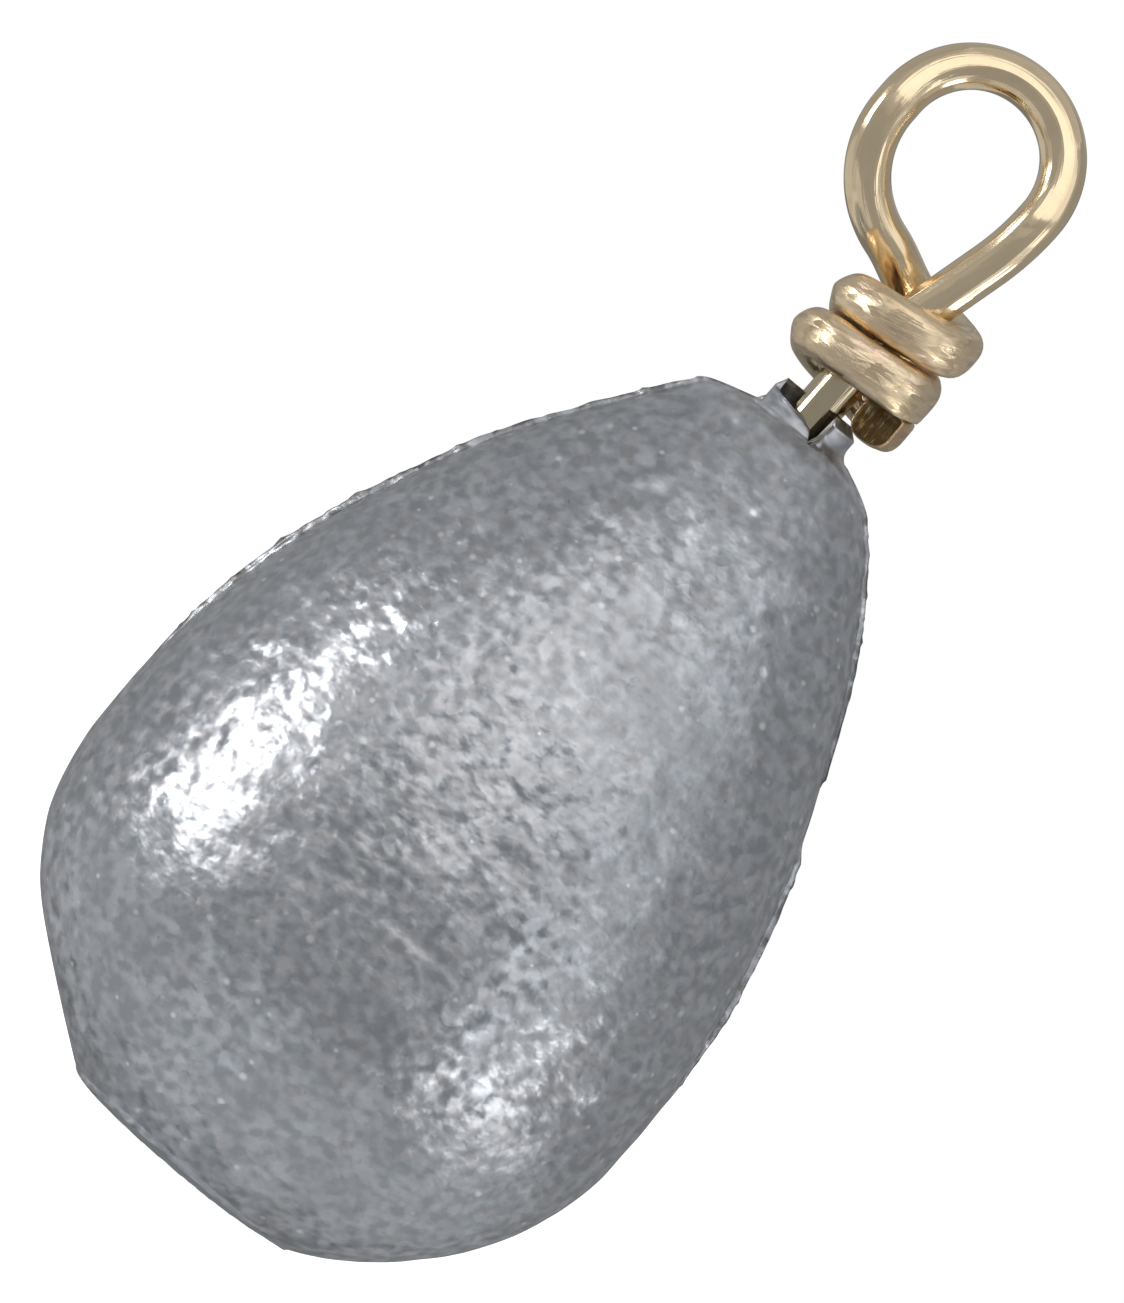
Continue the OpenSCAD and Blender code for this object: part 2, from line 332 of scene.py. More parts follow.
def ranged(tree, value, low, high, out_low=0.0, out_high=1.0, curve="LINEAR"):
    """A value moved from one range to another, and held inside it."""
    return add(tree, "ShaderNodeMapRange",
               {"Value": value, "From Min": low, "From Max": high, "To Min": out_low, "To Max": out_high},
               interpolation_type=curve).outputs["Result"]


def faded(tree, value, low, high):
    """0 up to the low value and 1 past the high one, with a soft change between."""
    return ranged(tree, value, low, high, curve="SMOOTHSTEP")


def rgba(value):
    return (*value, 1.0)


def surface(tree):
    """Where each point of a surface lies, and the way it faces."""
    return (add(tree, "ShaderNodeTexCoord").outputs["Object"],
            add(tree, "ShaderNodeNewGeometry").outputs["Normal"])


def new_group(name, inputs, outputs):
    """A shader node group with named sockets, and its two ends."""
    tree = bpy.data.node_groups.new(name, "ShaderNodeTree")
    for label, kind, value in inputs:
        socket = tree.interface.new_socket(label, in_out="INPUT", socket_type=kind)
        if value is not None:
            socket.default_value = value
    for label, kind in outputs:
        tree.interface.new_socket(label, in_out="OUTPUT", socket_type=kind)
    return tree, tree.nodes.new("NodeGroupInput").outputs, tree.nodes.new("NodeGroupOutput").inputs


def put_out(tree, out, **results):
    """Links a group's results to its outputs of the same names."""
    for label, value in results.items():
        tree.links.new(value, out[label.capitalize()])


def use_group(tree, name, **inputs):
    """Places a group in a tree and feeds its inputs of the same names."""
    made = add(tree, "ShaderNodeGroup", node_tree=bpy.data.node_groups[name])
    for label, value in inputs.items():
        feed(tree, made.inputs[label.capitalize()], value)
    return made.outputs


# Surface effects that the metals share

def make_sparkle():
    """Flat crystal faces, each turned its own way and with its own shade."""
    tree, given, out = new_group(
        "Sparkle",
        (("Place", VECTOR, None), ("Facing", VECTOR, None), ("Size", VALUE, 0.0002), ("Turn", VALUE, 0.3),
         ("Softness", VALUE, 0.0)),
        (("Normal", VECTOR), ("Shade", VALUE), ("Tint", VALUE)))
    # The faces' edges wander, and where they are soft, a cloud of the same spread takes their place
    sway = noisy(tree, in_sizes(tree, given["Place"], given["Size"], 0.7), 1.0)["Color"]
    place = vectors(tree, "ADD", in_sizes(tree, given["Place"], given["Size"]), scaled(tree, sway, 0.9))
    cloud = scaled(tree, noisy(tree, place, 0.0)["Color"], 2.4)
    cloud = vectors(tree, "ADD", cloud, (-0.7, -0.7, -0.7))
    cell = blended(tree, given["Softness"], celled(tree, place)["Color"], cloud)
    turned = scaled(tree, vectors(tree, "SUBTRACT", cell, (0.5, 0.5, 0.5)), given["Turn"])
    normal = vectors(tree, "NORMALIZE", vectors(tree, "ADD", given["Facing"], turned))
    shade, _, tint = parts_of(tree, cell)
    put_out(tree, out, normal=normal, shade=shade, tint=tint)


def make_patches():
    """Soft-edged patches, such as bloom, tarnish and wear."""
    tree, given, out = new_group(
        "Patches",
        (("Place", VECTOR, None), ("Size", VALUE, 0.002), ("Cover", VALUE, 0.5), ("Edge", VALUE, 0.1)),
        (("Mask", VALUE), ("Value", VALUE)))
    place = in_sizes(tree, given["Place"], given["Size"])
    value = noisy(tree, place, 4.0, roughness=0.6, distortion=0.4)["Fac"]
    level = minus(tree, 1.0, given["Cover"])
    mask = faded(tree, value, minus(tree, level, given["Edge"]), plus(tree, level, given["Edge"]))
    put_out(tree, out, mask=mask, value=value)


def make_spots():
    """Small round spots of uneven size, one in some of the cells."""
    tree, given, out = new_group(
        "Spots",
        (("Place", VECTOR, None), ("Size", VALUE, 0.0004), ("Share", VALUE, 0.3)),
        (("Mask", VALUE),))
    cells = celled(tree, in_sizes(tree, given["Place"], given["Size"]))
    drawn, sized, _ = parts_of(tree, cells["Color"])
    picked = sums(tree, "LESS_THAN", drawn, given["Share"])
    reach = ranged(tree, sized, 0.0, 1.0, 0.14, 0.34)
    spot = faded(tree, sums(tree, "DIVIDE", cells["Distance"], reach), 1.1, 0.2)
    put_out(tree, out, mask=times(tree, picked, spot))


def make_lines():
    """Thin lines that run along one way, such as drawing lines and rubbed scratches."""
    tree, given, out = new_group(
        "Lines",
        (("Place", VECTOR, None), ("Stretch", VECTOR, (1.0, 1.0, 0.05)), ("Size", VALUE, 0.0001),
         ("Cover", VALUE, 0.4)),
        (("Mask", VALUE), ("Value", VALUE)))
    place = in_sizes(tree, vectors(tree, "MULTIPLY", given["Place"], given["Stretch"]), given["Size"])
    value = noisy(tree, place, 2.0)["Fac"]
    level = minus(tree, 1.0, given["Cover"])
    put_out(tree, out, mask=faded(tree, value, level, plus(tree, level, 0.12)), value=value)


def make_effects():
    """Builds each effect's group, once."""
    if "Sparkle" not in bpy.data.node_groups:
        for make_group in (make_sparkle, make_patches, make_spots, make_lines):
            make_group()


def emptied(holder):
    """The node tree of a new material or world, with nothing in it."""
    holder.use_nodes = True
    holder.node_tree.nodes.clear()
    return holder.node_tree


def bumped(tree, height, normal, depth):
    """The normal after a relief whose full height is depth."""
    return add(tree, "ShaderNodeBump", {
        "Height": height, "Normal": normal, "Distance": depth, "Strength": 1.0}).outputs["Normal"]


def finish_metal(tree, colour_value, roughness, normal, metallic):
    """Ends a material's tree with its shader."""
    shader = add(tree, "ShaderNodeBsdfPrincipled", {
        "Base Color": colour_value, "Roughness": roughness, "Normal": normal, "Metallic": metallic})
    add(tree, "ShaderNodeOutputMaterial", {0: shader.outputs[0]})


# Lead

# Colours of its small marks, among them a painted highlight for the glints and painted shade for the pits
# and the flash's edge
ROSY_GREY = (0.56, 0.46, 0.44, 1.0)
# Painted shade: near black that stands for the shade inside the skin's pores
PIT_SHADE_GREY = (0.11, 0.12, 0.125, 1.0)
# Painted highlight: the near white of the small glint spots
PAINTED_GLINT_WHITE = (0.95, 0.96, 0.97, 1.0)
# Partly grime, partly painted shade: the dark brown of the flash's edge
GRIME_AND_SHADE_BROWN = (0.07, 0.06, 0.055, 1.0)

# Heights over the shoulder's edge between which the collar's smooth skin and the neck's rough one set in
COLLAR_START = (0.42 * MM, 0.52 * MM)
NECK_START = (-0.6 * MM, 0.3 * MM)

# Heights between which the flash's edge darkens, partly with grime and partly with painted shade of the
# sides' dark outline, and distances from the parting plane between which that ends
GRIME_AND_SHADE_START = (8 * MM, 11 * MM)
GRIME_AND_SHADE_END = (0.2 * MM, 0.12 * MM)


def cast_lead(s):
    """Lead as it leaves the mould: grey, grainy and full of small bright faces."""
    material = bpy.data.materials.new("cast_lead")
    tree = emptied(material)
    place, facing = surface(tree)
    _, off_parting, height = parts_of(tree, place)
    # The neck is rough from its broken collar, and shows little of the wire above it
    collar = faded(tree, height, *(s.shoulder_height + rise for rise in COLLAR_START))
    neck = faded(tree, height, *(s.shoulder_height + rise for rise in NECK_START))
    neck = minus(tree, neck, collar)
    # The grain is a little longer from front to back, and smooth on the collar
    grain = vectors(tree, "MULTIPLY", place, (1.0, 0.6, 1.15))
    coarse = use_group(tree, "Sparkle", place=place, facing=facing, size=0.8 * MM, turn=0.11, softness=0.8)
    sparkle = use_group(tree, "Sparkle", place=grain, facing=coarse["Normal"], size=0.31 * MM,
                        turn=ranged(tree, collar, 0.0, 1.0, 0.2, 0.05), softness=0.65)
    fine = noisy(tree, grain, 1.0, scale=4700.0)["Fac"]
    broad = noisy(tree, grain, 1.5, scale=2300.0)["Fac"]
    clouds = use_group(tree, "Patches", place=grain, size=1.0 * MM, cover=0.5, edge=0.12)
    # Painted highlight: small spots whitened in the colour as glints
    painted_glints = use_group(tree, "Spots", place=grain, size=0.4 * MM, share=0.17)
    bloom = use_group(tree, "Patches", place=place, size=4.2 * MM, cover=0.47, edge=0.16)
    # Painted shade of pores: small dark patches in the colour, with no hollow under them
    pits = use_group(tree, "Patches", place=place, size=0.35 * MM, cover=0.3, edge=0.03)
    scratches = use_group(tree, "Lines", place=place, stretch=(0.05, 1.0, 1.0), size=0.22 * MM, cover=0.27)
    # Grime and painted shade sit in patches on the edge of the parting flash, painting the dark outline of
    # the sides
    grime_and_shade = use_group(tree, "Patches", place=place, size=0.5 * MM, cover=0.52, edge=0.07)
    edge = times(tree, faded(tree, sums(tree, "ABSOLUTE", off_parting), *GRIME_AND_SHADE_END),
                 faded(tree, height, *GRIME_AND_SHADE_START))
    edge = times(tree, edge, minus(tree, 1.0, collar))

    tone = plus(tree, times(tree, sparkle["Shade"], 0.5), times(tree, fine, 0.5))
    dull = rgba(s.dull_lead)
    metal = blended(tree, ranged(tree, tone, 0.32, 0.68), dull, rgba(s.lead))
    metal = coated(tree, metal, (
        (clouds["Mask"], 0.36, dull),
        (bloom["Mask"], 0.4, dull),
        (sparkle["Tint"], 0.2, ROSY_GREY),
        (pits["Mask"], 0.3, PIT_SHADE_GREY),
        (painted_glints["Mask"], 0.75, PAINTED_GLINT_WHITE),
        (times(tree, edge, grime_and_shade["Mask"]), 0.75, GRIME_AND_SHADE_BROWN)))

    rough = ranged(tree, sparkle["Tint"], 0.0, 1.0, 0.285, 0.395)
    rough = plus(tree, rough, times(tree, bloom["Mask"], 0.08))
    rough = plus(tree, rough, times(tree, neck, 0.3))
    relief = plus(tree, times(tree, fine, 0.16), times(tree, broad, 0.8))
    relief = minus(tree, relief, times(tree, scratches["Mask"], 0.12))
    relief = times(tree, relief, ranged(tree, collar, 0.0, 1.0, 1.0, 0.3))
    finish_metal(tree, metal, rough, bumped(tree, relief, sparkle["Normal"], 0.06 * MM), 0.93)
    return material


def cut_lead(s):
    """Lead where the sprue was cut off: brighter, smoother and combed one way by the cutter."""
    material = bpy.data.materials.new("cut_lead")
    tree = emptied(material)
    place, facing = surface(tree)
    comb = use_group(tree, "Lines", place=place, stretch=(0.06, 1.0, 0.06), size=0.09 * MM, cover=0.5)
    bloom = use_group(tree, "Patches", place=place, size=1.6 * MM, cover=0.45, edge=0.14)
    sparkle = use_group(tree, "Sparkle", place=place, facing=facing, size=0.2 * MM, turn=0.12)
    metal = blended(tree, comb["Value"], rgba(s.dull_lead), rgba(s.lead))
    metal = coated(tree, metal, ((bloom["Mask"], 0.5, rgba(s.dull_lead)),))
    rough = ranged(tree, bloom["Value"], 0.2, 0.8, 0.24, 0.46)
    finish_metal(tree, metal, rough, bumped(tree, comb["Value"], sparkle["Normal"], 0.03 * MM), 0.95)
    return material


# Powers of the outline's curves, as in the frame's source
BELLY_POWERS = (2, 1.4)
SHOULDER_POWERS = (1.9, 1.25)
CROWN_POWER = 1.38
FILLET_TURN = math.radians(70)

# How far the casting's middle wanders to the right of its axis, as height and shift in millimetres
WANDER = ((0, 0.2), (1.3, 0.18), (3, 0.09), (4.6, 0), (13.5, -0.04), (16, -0.02), (18, 0.06), (20, 0.07),
          (21.1, 0))

# The flash is broken off on the right between these heights, in millimetres, by this share of its height,
# and on the neck it is lower by that share
BROKEN_FLASH = (14.0, 15.9)
BROKEN_SHARE = 0.85
NECK_SHARE = 0.6

# Dents and scores of the front: ends, as distance to the right and height, width and depth in millimetres
SCORES = (
    ((-0.05, 7.28), (2.29, 7.43), 0.1, 0.04),
    ((0.3, 7.62), (1.5, 7.7), 0.08, 0.025),
    ((-3.75, 2.5), (-3.1, 1.55), 0.12, 0.04),
    ((-3.1, 1.55), (-2.0, 1.05), 0.12, 0.035),
    ((-1.2, 8.3), (-1.0, 8.75), 0.1, 0.025),
    ((1.7, 11.4), (2.3, 11.2), 0.08, 0.02),
    ((-4.4, 12.6), (-3.7, 12.9), 0.1, 0.02),
)

# Flats that the casting was left with: way out, depth and softness in millimetres
FLATS = (
    ((-0.60, 0.0, -0.80), 0.19, 0.08),
    ((-0.97, -0.1, -0.2), 0.1, 0.05),
    ((0.62, 0.55, -0.56), 0.12, 0.06),
    ((0.1, 0.85, -0.5), 0.1, 0.06),
    ((0.90, -0.1, 0.42), 0.05, 0.03),
    ((0.31, -0.1, -0.95), 0.12, 0.08),
)

# Rings of the mesh: over the cut base, as shares of its radius, over the crown, the fillet, the collar's
# wall and the moat, and across the collar's rim, as shares of its wall
BASE_SHARES = np.linspace(0.05, 1, 17)
CROWN_RINGS = 16
FILLET_RINGS = 6
WALL_RINGS = 5
RIM_SHARES = (0.12, 0.5, 0.88, 1)
MOAT_RINGS = 8

# The collar's wall is this share thinner on the left, its inner edge takes this share of the rim's wear,
# and in its gap it leans in this far
LEFT_THINNING = 0.45
INNER_WEAR = 0.6
LEAN_IN = 0.13 * MM

# Groove in front round the collar's foot: how far below the crown's top it lies, how deep and wide it is,
# and its half span
GROOVE_DROP = 0.19 * MM
GROOVE_SIZE = 0.05 * MM
GROOVE_SPAN = math.radians(38)

# Beads and pits on each side's flash
BEADS = 34

# Marks of the cutter on the base: how far apart its lines are and how high, and the height of the step that
# it left
CUTTER_PITCH = 0.34 * MM
CUTTER_LINES = 0.007 * MM
CUTTER_STEP = 0.05 * MM

# Direction of the front round the axis, and how far every point stays inside the frame's box
FRONT = 1.5 * math.pi
BOX_MARGIN = 0.003 * MM


def band_top(s):
    return s.belly_height + s.band_height


def crown_top(s):
    return s.shoulder_height + s.crown_rise


def closing_rise(height, end_share, powers):
    """Rise over which a curve would close on the axis."""
    return height / (1 - end_share ** powers[1]) ** (1 / powers[0])


def curve_radius(radius, share, powers):
    """Radius of a curve at a share of the rise over which it closes."""
    return radius * (1 - share ** powers[0]) ** (1 / powers[1])


def body_outline(s):
    """Belly, band and shoulder, as radius and height, from the cut base up."""
    radius = s.body_width / 2
    belly_rise = closing_rise(s.belly_height, s.base_width / s.body_width, BELLY_POWERS)
    shoulder = s.shoulder_height - band_top(s)
    shoulder_rise = closing_rise(shoulder, s.shoulder_width / s.body_width, SHOULDER_POWERS)
    below = np.linspace(s.belly_height - s.base_crown * 1.3, 0, 300)
    above = np.linspace(0, shoulder, 500)
    belly = curve_radius(radius, below / belly_rise, BELLY_POWERS)
    upper = curve_radius(radius, above / shoulder_rise, SHOULDER_POWERS)
    return np.concatenate((
        np.column_stack((belly, s.belly_height - below)),
        np.column_stack((upper, band_top(s) + above))))


def ring_angles(columns):
    """Angles round the axis, crowded in front and where the parting flash stands."""
    fine = np.linspace(0, 2 * math.pi, 7201)
    off_flash = np.abs((fine + math.pi / 2) % math.pi - math.pi / 2)
    density = 1 + 4 * bell(off_flash, math.radians(3)) + 1.2 * bell(fine - FRONT, math.radians(60))
    total = np.concatenate(([0], np.cumsum((density[1:] + density[:-1]) / 2)))
    return np.interp(np.arange(columns) / columns, total / total[-1], fine)


def wrapped(off):
    """The same angles, counted from half a turn one way to half a turn the other."""
    return (off + math.pi) % (2 * math.pi) - math.pi


def collar_cut(s, turn, top):
    """Height down to which the collar is broken away in each direction, and how open its gap is there."""
    ragged = np.array([noise.noise(Vector((math.cos(a) * 3, math.sin(a) * 3, 7.7))) for a in turn])
    off = np.abs(wrapped(turn - s.window_azimuth))
    edge = eased((off - s.window_span / 2 + math.radians(2)) / math.radians(6) + ragged * 0.2)
    across = wrapped(s.window_azimuth - turn)
    low = crown_top(s) + s.collar_height - s.window_depth
    low = low + s.window_slope * (0.3 + 0.7 * across / s.window_span)
    low -= s.crack_depth * bell(wrapped(turn - s.crack_azimuth), math.radians(6))
    return low + 0.03 * MM * (1 + ragged) + (top + 0.05 * MM - low) * edge, 1 - edge


def shares(count):
    """Even shares up to 1, without the 0."""
    return np.linspace(0, 1, count + 1)[1:]


def casting_rings(s, turn):
    """Radius and height of each ring and column of the lead, and the numbers of rings of its stretches."""
    flat = np.ones_like(turn)
    body = respaced(body_outline(s), s.ring_step)
    base_edge = body[0, 0] - 0.03 * MM
    base = np.column_stack((base_edge * BASE_SHARES, s.base_crown * BASE_SHARES ** 2.4))
    rings = [(row[0] * flat, row[1] * flat) for row in np.concatenate((base, body))]
    numbers = {"base": len(base), "body": len(rings)}

    neck = s.neck_width / 2
    fillet = s.neck_fillet + s.fillet_swing * np.cos(turn)
    foot = neck + fillet * (1 - math.cos(FILLET_TURN))
    crown = crown_top(s)
    shoulder = s.shoulder_width / 2
    for part in shares(CROWN_RINGS):
        rings.append((shoulder - (shoulder - foot) * part ** CROWN_POWER,
                      (s.shoulder_height + s.crown_rise * part) * flat))
    for part in np.linspace(FILLET_TURN, 0, FILLET_RINGS + 1)[1:]:
        rings.append((neck + fillet * (1 - math.cos(part)),
                      crown + fillet * (math.sin(FILLET_TURN) - math.sin(part))))
    numbers["fillet"] = len(rings)
    # The rim is worn round towards the left and back, where the wire's turning end would rub on it
    leftward = 0.5 - 0.5 * np.cos(turn)
    left = leftward ** 2
    worn = s.rim_wear * leftward
    rim = crown + s.collar_height
    moat = rim - s.moat_depth
    rim = rim - worn
    lip = LEAD_HIGH.z - INNER_WEAR * worn
    for part in shares(WALL_RINGS):
        below = rings[-1][1]
        rings.append((neck * flat, below + (rim - below) * part))
    inner = neck - s.collar_wall * (1 - LEFT_THINNING * left)
    for part in RIM_SHARES:
        rings.append((neck + (inner - neck) * part, rim + (lip - rim) * part))
    numbers["rim"] = len(rings)
    for part in shares(MOAT_RINGS):
        rings.append((inner, lip + (moat - lip) * part))
    numbers["moat"] = len(rings)

    # In the gap the collar's wall starts lower, and leans in up to its broken edge
    cut, opened = collar_cut(s, turn, LEAD_HIGH.z)
    wall_foot = crown - s.gap_dip
    fillet_top = rings[numbers["fillet"] - 1][1]
    for number in range(numbers["body"], numbers["rim"] - len(RIM_SHARES)):
        radius, height = rings[number]
        dip = eased((height - s.shoulder_height) / s.crown_rise) * eased(1 - (height - crown) / (0.3 * MM))
        if number >= numbers["fillet"]:
            lower = height
        elif number >= numbers["fillet"] - FILLET_RINGS:
            lower = wall_foot + (fillet_top - wall_foot) * (foot - radius) / (foot - neck)
        else:
            lower = np.minimum(height, wall_foot)
        leaning = opened * (1 - left ** 4) * eased((height - crown) / (0.4 * MM))
        rings[number] = (radius - LEAN_IN * leaning,
                         height + (lower - height) * opened - s.crown_dip * dip * left)
    rings = [(radius, np.minimum(height, cut)) for radius, height in rings]
    rings += [(radius * flat, height * flat) for radius, height in bore_corners(s, moat)]
    return np.array([r for r, _ in rings]), np.array([z for _, z in rings]), numbers


def bore_corners(s, moat):
    """Radius and height down the running bore and round the pocket of the wire's head, from the moat."""
    wire = bpy.context.scene.swivel_wire
    bore = wire.wire_width / 2 + s.bore_gap
    pocket = wire.head_width / 2 + s.head_gap
    roof = EYE_LOW.z + wire.head_height + s.head_gap
    ground = EYE_LOW.z - s.head_gap
    return [(bore, moat), (bore, (moat * 2 + roof) / 3), (bore, (moat + roof * 2) / 3), (bore, roof),
            (pocket, roof), (pocket, (roof + ground) / 2), (pocket, ground), (pocket / 2, ground),
            (pocket / 20, ground)]


def off_axis(height):
    """How far the casting's middle lies to the right at each height."""
    steps = np.array(WANDER) * MM
    return np.interp(height, steps[:, 0], steps[:, 1])


def flash_proud(s, radius, height, turn):
    """How far the parting flash lifts each point, with its nicks and beads."""
    draw = np.random.RandomState(11)
    band = band_top(s)
    crown = crown_top(s)
    aside = radius * np.sin(turn)
    right = np.cos(turn) > 0
    grown = eased((height - band) / s.flash_run) * (
        1 - NECK_SHARE * eased((height - crown) / (0.3 * MM) + 1))
    broken = eased((height / MM - BROKEN_FLASH[0]) / 0.5) * eased((BROKEN_FLASH[1] - height / MM) / 0.25)
    grown = grown * (1 - BROKEN_SHARE * broken * right)
    side_place = np.where(right, 1.0, 9.0) * MM
    place = np.column_stack((side_place.ravel(), (aside * 0.4).ravel(), height.ravel()))
    worn = 0.82 + 0.18 * lumps(place, 0.9 * MM, 3.1) + 0.16 * lumps(place, 0.28 * MM, 8.3)
    worn = np.minimum(worn.reshape(height.shape), 1)
    strip = eased((s.flash_width / 2 + 0.025 * MM - np.abs(aside)) / (0.06 * MM))
    proud = s.flash_height * grown * worn * strip

    # Beads and pits that the mould's edge leaves on both faces of the flash
    for side in (True, False):
        for _ in range(BEADS):
            middle = draw.uniform(band + 1.5 * MM, crown - 0.5 * MM)
            off = draw.choice((-1, 1)) * draw.uniform(0.1, 0.22) * MM
            size = draw.uniform(0.05, 0.11) * MM
            lift = draw.choice((0.6, 0.5, -0.7)) * size
            close = np.hypot(height - middle, aside - off)
            proud = proud + np.where(right == side, lift * bell(close, size), 0)
    fits = np.abs(aside) < s.flash_width * 2
    return np.where(fits & (height > band) & (height < crown + 0.02 * MM), proud, 0)


def score_depth(points):
    """How deep the scores of the front go at each point."""
    depth = np.zeros(len(points))
    flat = points[:, (0, 2)] / MM
    front = points[:, 1] < 0
    for start, end, width, deep in SCORES:
        start, end = np.array(start), np.array(end)
        way = end - start
        share = np.clip((flat - start) @ way / (way @ way), 0, 1)
        off = np.linalg.norm(flat - start - share[:, None] * way, axis=1)
        tapered = 0.35 + 0.65 * np.sin(math.pi * np.clip(share, 0.06, 0.94))
        groove = bell(off, width * tapered) - 0.35 * bell(off - width * 2, width)
        depth += np.where(front, deep * MM * tapered * groove, 0)
    return depth


def skin_lift(s, spot, height, turns, rows, numbers):
    """How far the cast skin's lumps, scores and groove move each point out of the smooth form."""
    crown = crown_top(s)
    # The skin fades out at the neck, and the bore and the cut base have none
    skinned = np.where((rows >= numbers["base"]) & (rows < numbers["rim"]), 1.0, 0.0)
    skinned = skinned * (1 - 0.75 * eased((height - crown + 0.5 * MM) / (0.5 * MM)))
    skin = (s.skin_lumps * lumps(spot, 3.1 * MM, 5.2) + 0.45 * s.skin_lumps * lumps(spot, 0.9 * MM, 2.6)
            + s.skin_grain * lumps(spot, 0.3 * MM, 9.4))
    lift = (skin - score_depth(spot) - s.skin_lumps * 0.6).reshape(height.shape) * skinned
    groove = bell(height - crown + GROOVE_DROP, GROOVE_SIZE) * bell(turns - FRONT, GROOVE_SPAN)
    return lift - GROOVE_SIZE * groove * skinned


def cutter_marks(base):
    """How far the cutter's marks rise from the base at each of its points."""
    comb = 1 + np.sin((base[..., 1] + 0.3 * base[..., 0]) * 2 * math.pi / CUTTER_PITCH
                      + 2 * lumps(base.reshape(-1, 3), 1.1 * MM, 4.4).reshape(base.shape[:2]))
    step = eased((base[..., 0] * 0.25 - base[..., 1] + 0.4 * MM) / (0.12 * MM))
    inside = 1 - eased((BASE_SHARES[:, None] - 0.85) / 0.15)
    return (CUTTER_LINES * comb + CUTTER_STEP * step) * inside


def flattened(points):
    """The outside with its flats, set down on the ground again."""
    for way, depth, soft in FLATS:
        way = np.array(way) / np.linalg.norm(way)
        reach = points @ way
        points = points - ramp(reach - reach.max() + depth * MM, soft * MM)[:, None] * way
    lowest = points[:, 2].min()
    points[:, 2] -= lowest * (1 - eased(points[:, 2] / (3 * MM)))
    return points


def casting_points(s):
    """All points of the casting, ring by ring."""
    turn = ring_angles(s.columns)
    radius, height, numbers = casting_rings(s, turn)
    # The ring grid is eased a little where the shoulder meets the crown
    edge = numbers["body"]
    for _ in range(3):
        for grid in (radius, height):
            grid[edge - 3:edge + 12] = (grid[edge - 4:edge + 11] + 2 * grid[edge - 3:edge + 12]
                                        + grid[edge - 2:edge + 13]) / 4
    rise = np.gradient(height, axis=0)
    reach = np.gradient(radius, axis=0)
    size = np.maximum(np.hypot(rise, reach), 1e-9)
    out, up = rise / size, -reach / size
    turns = np.broadcast_to(turn, radius.shape)
    spot = np.stack((radius * np.cos(turns), radius * np.sin(turns), height), axis=-1).reshape(-1, 3)

    rows = np.arange(len(radius))[:, None]
    lift = skin_lift(s, spot, height, turns, rows, numbers)
    proud = np.where(rows < numbers["rim"], flash_proud(s, radius, height, turns), 0)
    full = radius + out * lift + proud
    points = np.stack((full * np.cos(turns), full * np.sin(turns), height + up * lift), axis=-1)
    points[:numbers["base"], :, 2] += cutter_marks(points[:numbers["base"]])
    points[:numbers["moat"], :, 0] += off_axis(height[:numbers["moat"]])
    outside = flattened(points[:numbers["body"]].reshape(-1, 3))
    points[:numbers["body"]] = outside.reshape(-1, s.columns, 3)
    for axis in (0, 1):
        points[..., axis] = np.clip(points[..., axis], CAD_BOX[0][axis] + BOX_MARGIN,
                                    CAD_BOX[1][axis] - BOX_MARGIN)
    points[..., 2] = np.clip(points[..., 2], 0, LEAD_HIGH.z)
    return points, numbers


def casting_faces(rings, columns):
    """Faces between the rings, then a fan at the foot and one in the pocket by turns."""
    faces = []
    for ring in range(rings - 1):
        for column in range(columns):
            a = ring * columns + column
            b = ring * columns + (column + 1) % columns
            faces.append((a, b, b + columns, a + columns))
    foot = rings * columns
    end = foot + 1
    for column in range(columns):
        onward = (column + 1) % columns
        faces.append((foot, onward, column))
        faces.append((foot - columns + column, foot - columns + onward, end))
    return faces


class SINKER_OT_casting(bpy.types.Operator):
    """Makes the lead casting, with its flash, cut base, open collar and bore"""
    bl_idname = "sinker.casting"
    bl_label = "Lead Casting"

    def execute(self, context):
        s = context.scene.sinker_casting
        make_effects()
        points, numbers = casting_points(s)
        rings, columns = points.shape[:2]
        faces = casting_faces(rings, columns)
        middles = [points[0].mean(axis=0), points[-1].mean(axis=0)]
        verts = np.concatenate((points.reshape(-1, 3), middles))
        piece = new_piece("lead_casting", verts.tolist(), faces, (cast_lead(s), cut_lead(s)))
        # The base's rings and the fan at its middle are cut lead
        cut = np.zeros(len(faces), dtype=int)
        cut[:(numbers["base"] - 1) * columns] = 1
        cut[(rings - 1) * columns::2] = 1
        finish_faces(piece.data, cut)
        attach(piece, "sinker")
        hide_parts("lead_body")
        return {"FINISHED"}


# Wire

# Colours of the brown at its end, partly stain and partly painted reflection, and of the torn metal in its
# cut, darkened as painted shade
END_STAIN_AND_REFLECTION_BROWN = (0.5, 0.3, 0.14, 1.0)
# Painted shade: the torn metal of the cut face is darkened far below brass
TORN_BRASS_IN_SHADE = (0.2, 0.17, 0.1, 1.0)
TORN_STAIN_IN_SHADE = (0.12, 0.075, 0.03, 1.0)

# Run along the wire at which the olive painted shade of its shank ends, and how far before the cut the
# brown, partly stain and partly painted reflection, sets in
OLIVE_SHADE_END = (7.9 * MM, 7.4 * MM)
STAIN_AND_REFLECTION_START = (1.1 * MM, 0.5 * MM)


